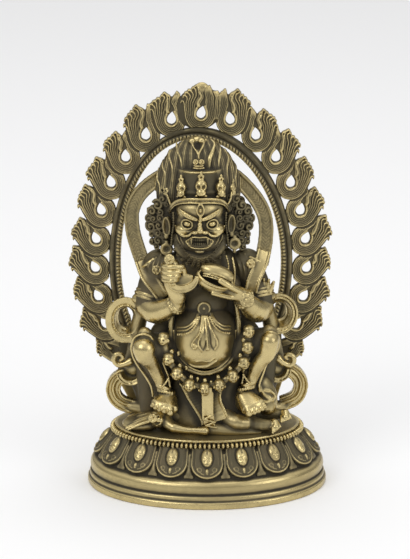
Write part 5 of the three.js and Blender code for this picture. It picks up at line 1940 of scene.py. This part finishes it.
def lying_clay(sizes):
    """The figure under the deity's feet, its head to the left."""
    clay = Clay(*LYING_BLOCK, sizes.lying_grain / MM)
    clay.polish = 0.35
    trunk = [[-22, -10, 36.6, 4.6], [-12, -10, 37.4, 6], [0, -10, 38, 6.6], [10, -11, 37, 6.6]]
    clay.limb(trunk, 1, spacing=2.5)
    # The hip, the thigh that rises behind it, and the legs
    clay.polish = 0.2
    clay.limb([[7.6, -14, 41.6, 3.6], [10.4, -16.4, 38.6, 4], [14.6, -18.6, 37, 4.2],
               [19, -18, 36.2, 3.8]], 0.6, spacing=1.6)
    clay.polish = -0.15
    clay.limb([[17, -14, 36.4, 4.4], [25, -17.4, 35.4, 3.4], [31, -18.4, 35.4, 2.5],
               [33.6, -18.4, 35.4, 2.3]], 0.8, spacing=1.6)
    clay.limb([[16, -6, 36.5, 5], [28, -6, 37, 3.8], [36, -9, 38, 2.6], [39.4, -10.4, 38.2, 2.4]], 0.8,
              spacing=1.8)
    clay.polish = 0.0
    clay.limb([[2, -19, 33.6, 3.4], [9, -19.4, 32.8, 3], [18, -19, 32, 2.4],
               [26, -18, 31.4, 1.6]], 0.8, spacing=2)
    # Bent arm in front: the shoulder, the elbow and the forearm towards the strap
    clay.polish = 0.2
    upper_arm = [[-21, -14, 38.4, 3.4], [-19.6, -18.4, 36.4, 2.9], [-16.8, -20.8, 35, 2.6]]
    clay.limb(upper_arm, 0.6, spacing=1.2)
    clay.limb([[-16.6, -20.9, 34.9, 2.5], [-11, -22.4, 34.2, 2], [-5, -23.4, 34.2, 1.8],
               [-1, -23.6, 34, 2.2]], 0.4, spacing=1.2)
    # Head, turned up, with a flower over its brow
    head = Place(clay, [-24.6, -15.6, 37.6], -0.5, 0.5)
    clay.polish = 0.45
    head.egg([0, 0, 0], [4.6, 4.2, 4.6], 0.5)
    head.egg([2.6, -2.6, -0.6], [2, 2, 2.4], 0.4)
    clay.polish = 0.8
    head.egg([1.6, -4.2, 0.2], [0.8, 1, 1.3], 0.3)
    head.limb([[-0.6, -3.8, 2, 0.4], [1.2, -4.4, 2.3, 0.4], [3.4, -3.8, 1.9, 0.4]], 0.15)
    for side in SIDES:
        head.egg([1.4 + 1.5 * side, -3.7, 1.2], [0.9, 1, 0.6], 0.15, True)
    head.limb([[0.2, -3.9, -1.8, 0.4], [2.6, -4, -1.8, 0.4]], 0.1, True)
    head.limb([[0, -3.9, -2.6, 0.4], [2.8, -4, -2.6, 0.4]], 0.15)
    # Hair that streams to the left in long locks
    clay.polish = 0.1
    clay.egg([-33, -11, 34], [9.6, 7.4, 3.6], 0.8)
    clay.polish = 0.1
    for i in range(13):
        swing = i / 12
        wave = 0.6 * sin(1.7 * i)
        start = [-27.4 - 1.2 * swing, -19.4 + 9.0 * swing, 38.0 + 2.4 * sin(pi * swing)]
        middle = [-33.0 + wave, -20.4 + 16.0 * swing, 36.6 + 1.2 * sin(pi * swing)]
        end = [-39.4 - 2.4 * sin(pi * swing) - wave, -20.6 + 20.0 * swing, 33.6]
        clay.limb([[*start, 0.8], [*middle, 0.85], [*end, 0.5]], 0.15, spacing=1)
    clay.polish = 0.9
    rosette(clay, [-27, -19.8, 39.4], (-0.15, -1, 0.45), 2.4, 6)
    # Feet with toes
    for heel, way, side_way in (([33.6, -18.2, 36.2], [0.22, -0.75, -0.45], [0.8, 0.5, 0.25]),
                                ([39.2, -10.6, 38.8], [0.1, -0.85, -0.5], [0.9, 0.1, 0.12])):
        heel, way, across = np.array(heel), unit_vector(way), unit_vector(side_way)
        clay.polish = 0.6
        clay.limb([[*heel, 2.3], [*(heel + 2.6 * way), 2]], 0.5, spacing=1)
        clay.polish = 0.9
        for i in range(5):
            start = heel + 1.8 * way + across * (i - 2) * 0.95
            end = heel + (5.0 - 0.35 * i) * way + across * (i - 2) * 1.25
            clay.limb([[*start, 0.85], [*end, 0.68]], 0.12, spacing=0.8)
    clay.cut_below(DECK)
    return clay


# Stage

LOOK_AT = Vector((-0.001, 0.0, 0.1058))
CAMERA_AWAY = 1.2
CAMERA_LENS = 154.6
FLOOR_HALF = 6.0


def stand_camera():
    """The photograph's view: a long lens that looks down a little."""
    data = bpy.data.cameras.new("Camera")
    data.lens = CAMERA_LENS
    data.clip_start = 0.05
    camera = bpy.data.objects.new("Camera", data)
    camera.location = LOOK_AT + CAMERA_AWAY * Vector(
        (0.0, -cos(LOOK_DOWN), sin(LOOK_DOWN)))
    camera.rotation_euler = (pi / 2 - LOOK_DOWN, 0.0, 0.0)
    bpy.context.scene.collection.objects.link(camera)
    bpy.context.scene.camera = camera


def hang_light(name, place, size, watts):
    """A soft square white light that looks at the figure."""
    data = bpy.data.lights.new(name, "AREA")
    data.size = size
    data.energy = watts
    light = bpy.data.objects.new(name, data)
    light.location = place
    light.rotation_euler = (LOOK_AT - Vector(place)).to_track_quat("-Z", "Y").to_euler()
    bpy.context.scene.collection.objects.link(light)


def lay_floor(settings):
    """A wide pale floor under the base."""
    mesh = bpy.data.meshes.new("floor")
    corners = [(x * FLOOR_HALF, y * FLOOR_HALF, 0.0) for x, y in ((-1, -1), (1, -1), (1, 1), (-1, 1))]
    mesh.from_pydata(corners, [], [(0, 1, 2, 3)])
    floor = link("floor", mesh)
    floor.data.materials.append(plain_material("floor", settings.floor, 0.9))


def light_world(settings):
    """A white ceiling that fades to a dim room at eye level."""
    bench = Bench(bpy.data.worlds.new("Studio"))
    place = bench.node("ShaderNodeTexCoord")
    height = bench.node("ShaderNodeSeparateXYZ", {}, {0: place}, 2)
    share_up = bench.range(height, settings.ceiling_low, settings.ceiling_high)
    strength = settings.room_strength + share_up * (settings.ceiling_strength - settings.room_strength)
    light = bench.node("ShaderNodeBackground", {}, {"Color": rgba(settings.world), "Strength": strength})
    bench.node("ShaderNodeOutputWorld", {}, {"Surface": light})
    bpy.context.scene.world = bench.owner


class StageLook(bpy.types.PropertyGroup):
    """Floor and light."""
    floor: paint("Floor", "Colour of the floor", (0.94, 0.94, 0.945))
    world: paint("World", "Colour of the light all round", (1.0, 1.0, 1.0))
    room_strength: share("Room", "How bright the room is at eye level", 0.34, high=5.0)
    ceiling_strength: share("Ceiling", "How bright the ceiling is", 0.85, high=5.0)
    ceiling_low: share("Ceiling from", "Where the room starts to turn brighter", 0.1)
    ceiling_high: share("Ceiling to", "Where it is as bright as the ceiling", 0.7)
    key_watts: share("Key light", "Power of the large light on the left", 6.6, high=200.0)
    fill_watts: share("Fill light", "Power of the light on the right", 4.0, high=200.0)
    top_watts: share("Top light", "Power of the light overhead", 5.0, high=200.0)


class FigureSizes(bpy.types.PropertyGroup):
    """How finely the figure is sculpted."""
    head_grain: length("Head grain", "Distance between the cells of the head's clay", 0.3)
    body_grain: length("Body grain", "Distance between the cells of the body's clay", 0.38)
    scarf_grain: length("Scarf grain", "Distance between the cells of the scarf's clay", 0.42)
    lying_grain: length("Lying grain", "Distance between the cells of the lying figure's clay", 0.38)


# Operators

class MAHAKALA_OT_stage(bpy.types.Operator):
    """Stands the camera, the lights and the floor"""
    bl_idname = "mahakala.stage"
    bl_label = "Stage"

    def execute(self, context):
        look = context.scene.mahakala_stage
        stand_camera()
        lay_floor(look)
        light_world(look)
        context.scene.view_settings.view_transform = "Standard"
        hang_light("Key", (-0.9, -1.1, 1.2), 0.9, look.key_watts)
        hang_light("Fill", (1.2, -0.9, 0.7), 0.8, look.fill_watts)
        hang_light("Top", (0.1, 0.25, 1.6), 1.2, look.top_watts)
        return {"FINISHED"}


class MAHAKALA_OT_base(bpy.types.Operator):
    """Sculpts the lotus base"""
    bl_idname = "mahakala.base"
    bl_label = "Lotus base"

    def execute(self, context):
        scene = context.scene
        material = brass_material("brass", scene.mahakala_brass)
        clay = base_clay(scene.mahakala_base)
        cast_piece("lotus_base_finish", clay, "lotus_base", material, BASE_TRIANGLES)
        return {"FINISHED"}


class MAHAKALA_OT_aureole(bpy.types.Operator):
    """Sculpts the flame aureole"""
    bl_idname = "mahakala.aureole"
    bl_label = "Flame aureole"

    def execute(self, context):
        scene = context.scene
        material = brass_material("patinated_brass", scene.mahakala_brass)
        cast_piece("flame_aureole_finish", aureole_clay(scene.mahakala_aureole), "flame_aureole",
                   material)
        return {"FINISHED"}


class MAHAKALA_OT_figure(bpy.types.Operator):
    """Sculpts the deity, its scarf and the figure that it stands on"""
    bl_idname = "mahakala.figure"
    bl_label = "Figure"

    def execute(self, context):
        scene = context.scene
        sizes = scene.mahakala_figure
        material = brass_material("figure_brass", scene.mahakala_brass)
        for name, sculpt, limit in (
                ("head_finish", head_clay, MOST_TRIANGLES),
                ("body_finish", body_clay, MOST_TRIANGLES),
                ("scarf_finish", scarf_clay, SCARF_TRIANGLES),
                ("lying_finish", lying_clay, LYING_TRIANGLES)):
            cast_piece(name, sculpt(sizes), "mahakala_figure", material, limit)
        return {"FINISHED"}


GROUPS = {
    "mahakala_brass": BrassFinish,
    "mahakala_base": BaseSizes,
    "mahakala_aureole": AureoleSizes,
    "mahakala_figure": FigureSizes,
    "mahakala_stage": StageLook,
}
OPERATORS = (MAHAKALA_OT_stage, MAHAKALA_OT_base, MAHAKALA_OT_aureole, MAHAKALA_OT_figure)


class MAHAKALA_PT_panel(bpy.types.Panel):
    """Lists the steps that build the figure"""
    bl_idname = "MAHAKALA_PT_panel"
    bl_label = "Mahakala"
    bl_space_type = "VIEW_3D"
    bl_region_type = "UI"
    bl_category = "Mahakala"

    def draw(self, context):
        for operator in OPERATORS:
            self.layout.operator(operator.bl_idname)


def register():
    """Makes the settings, the operators and the panel known."""
    for name, group in GROUPS.items():
        bpy.utils.register_class(group)
        setattr(bpy.types.Scene, name, bpy.props.PointerProperty(type=group))
    for kind in (*OPERATORS, MAHAKALA_PT_panel):
        bpy.utils.register_class(kind)


def unregister():
    """Takes them away again."""
    for kind in (MAHAKALA_PT_panel, *reversed(OPERATORS)):
        bpy.utils.unregister_class(kind)
    for name, group in GROUPS.items():
        delattr(bpy.types.Scene, name)
        bpy.utils.unregister_class(group)


def main():
    """Builds every piece."""
    register()
    for operator in OPERATORS:
        group, name = operator.bl_idname.split(".")
        getattr(getattr(bpy.ops, group), name)()


if __name__ == "__main__":
    main()
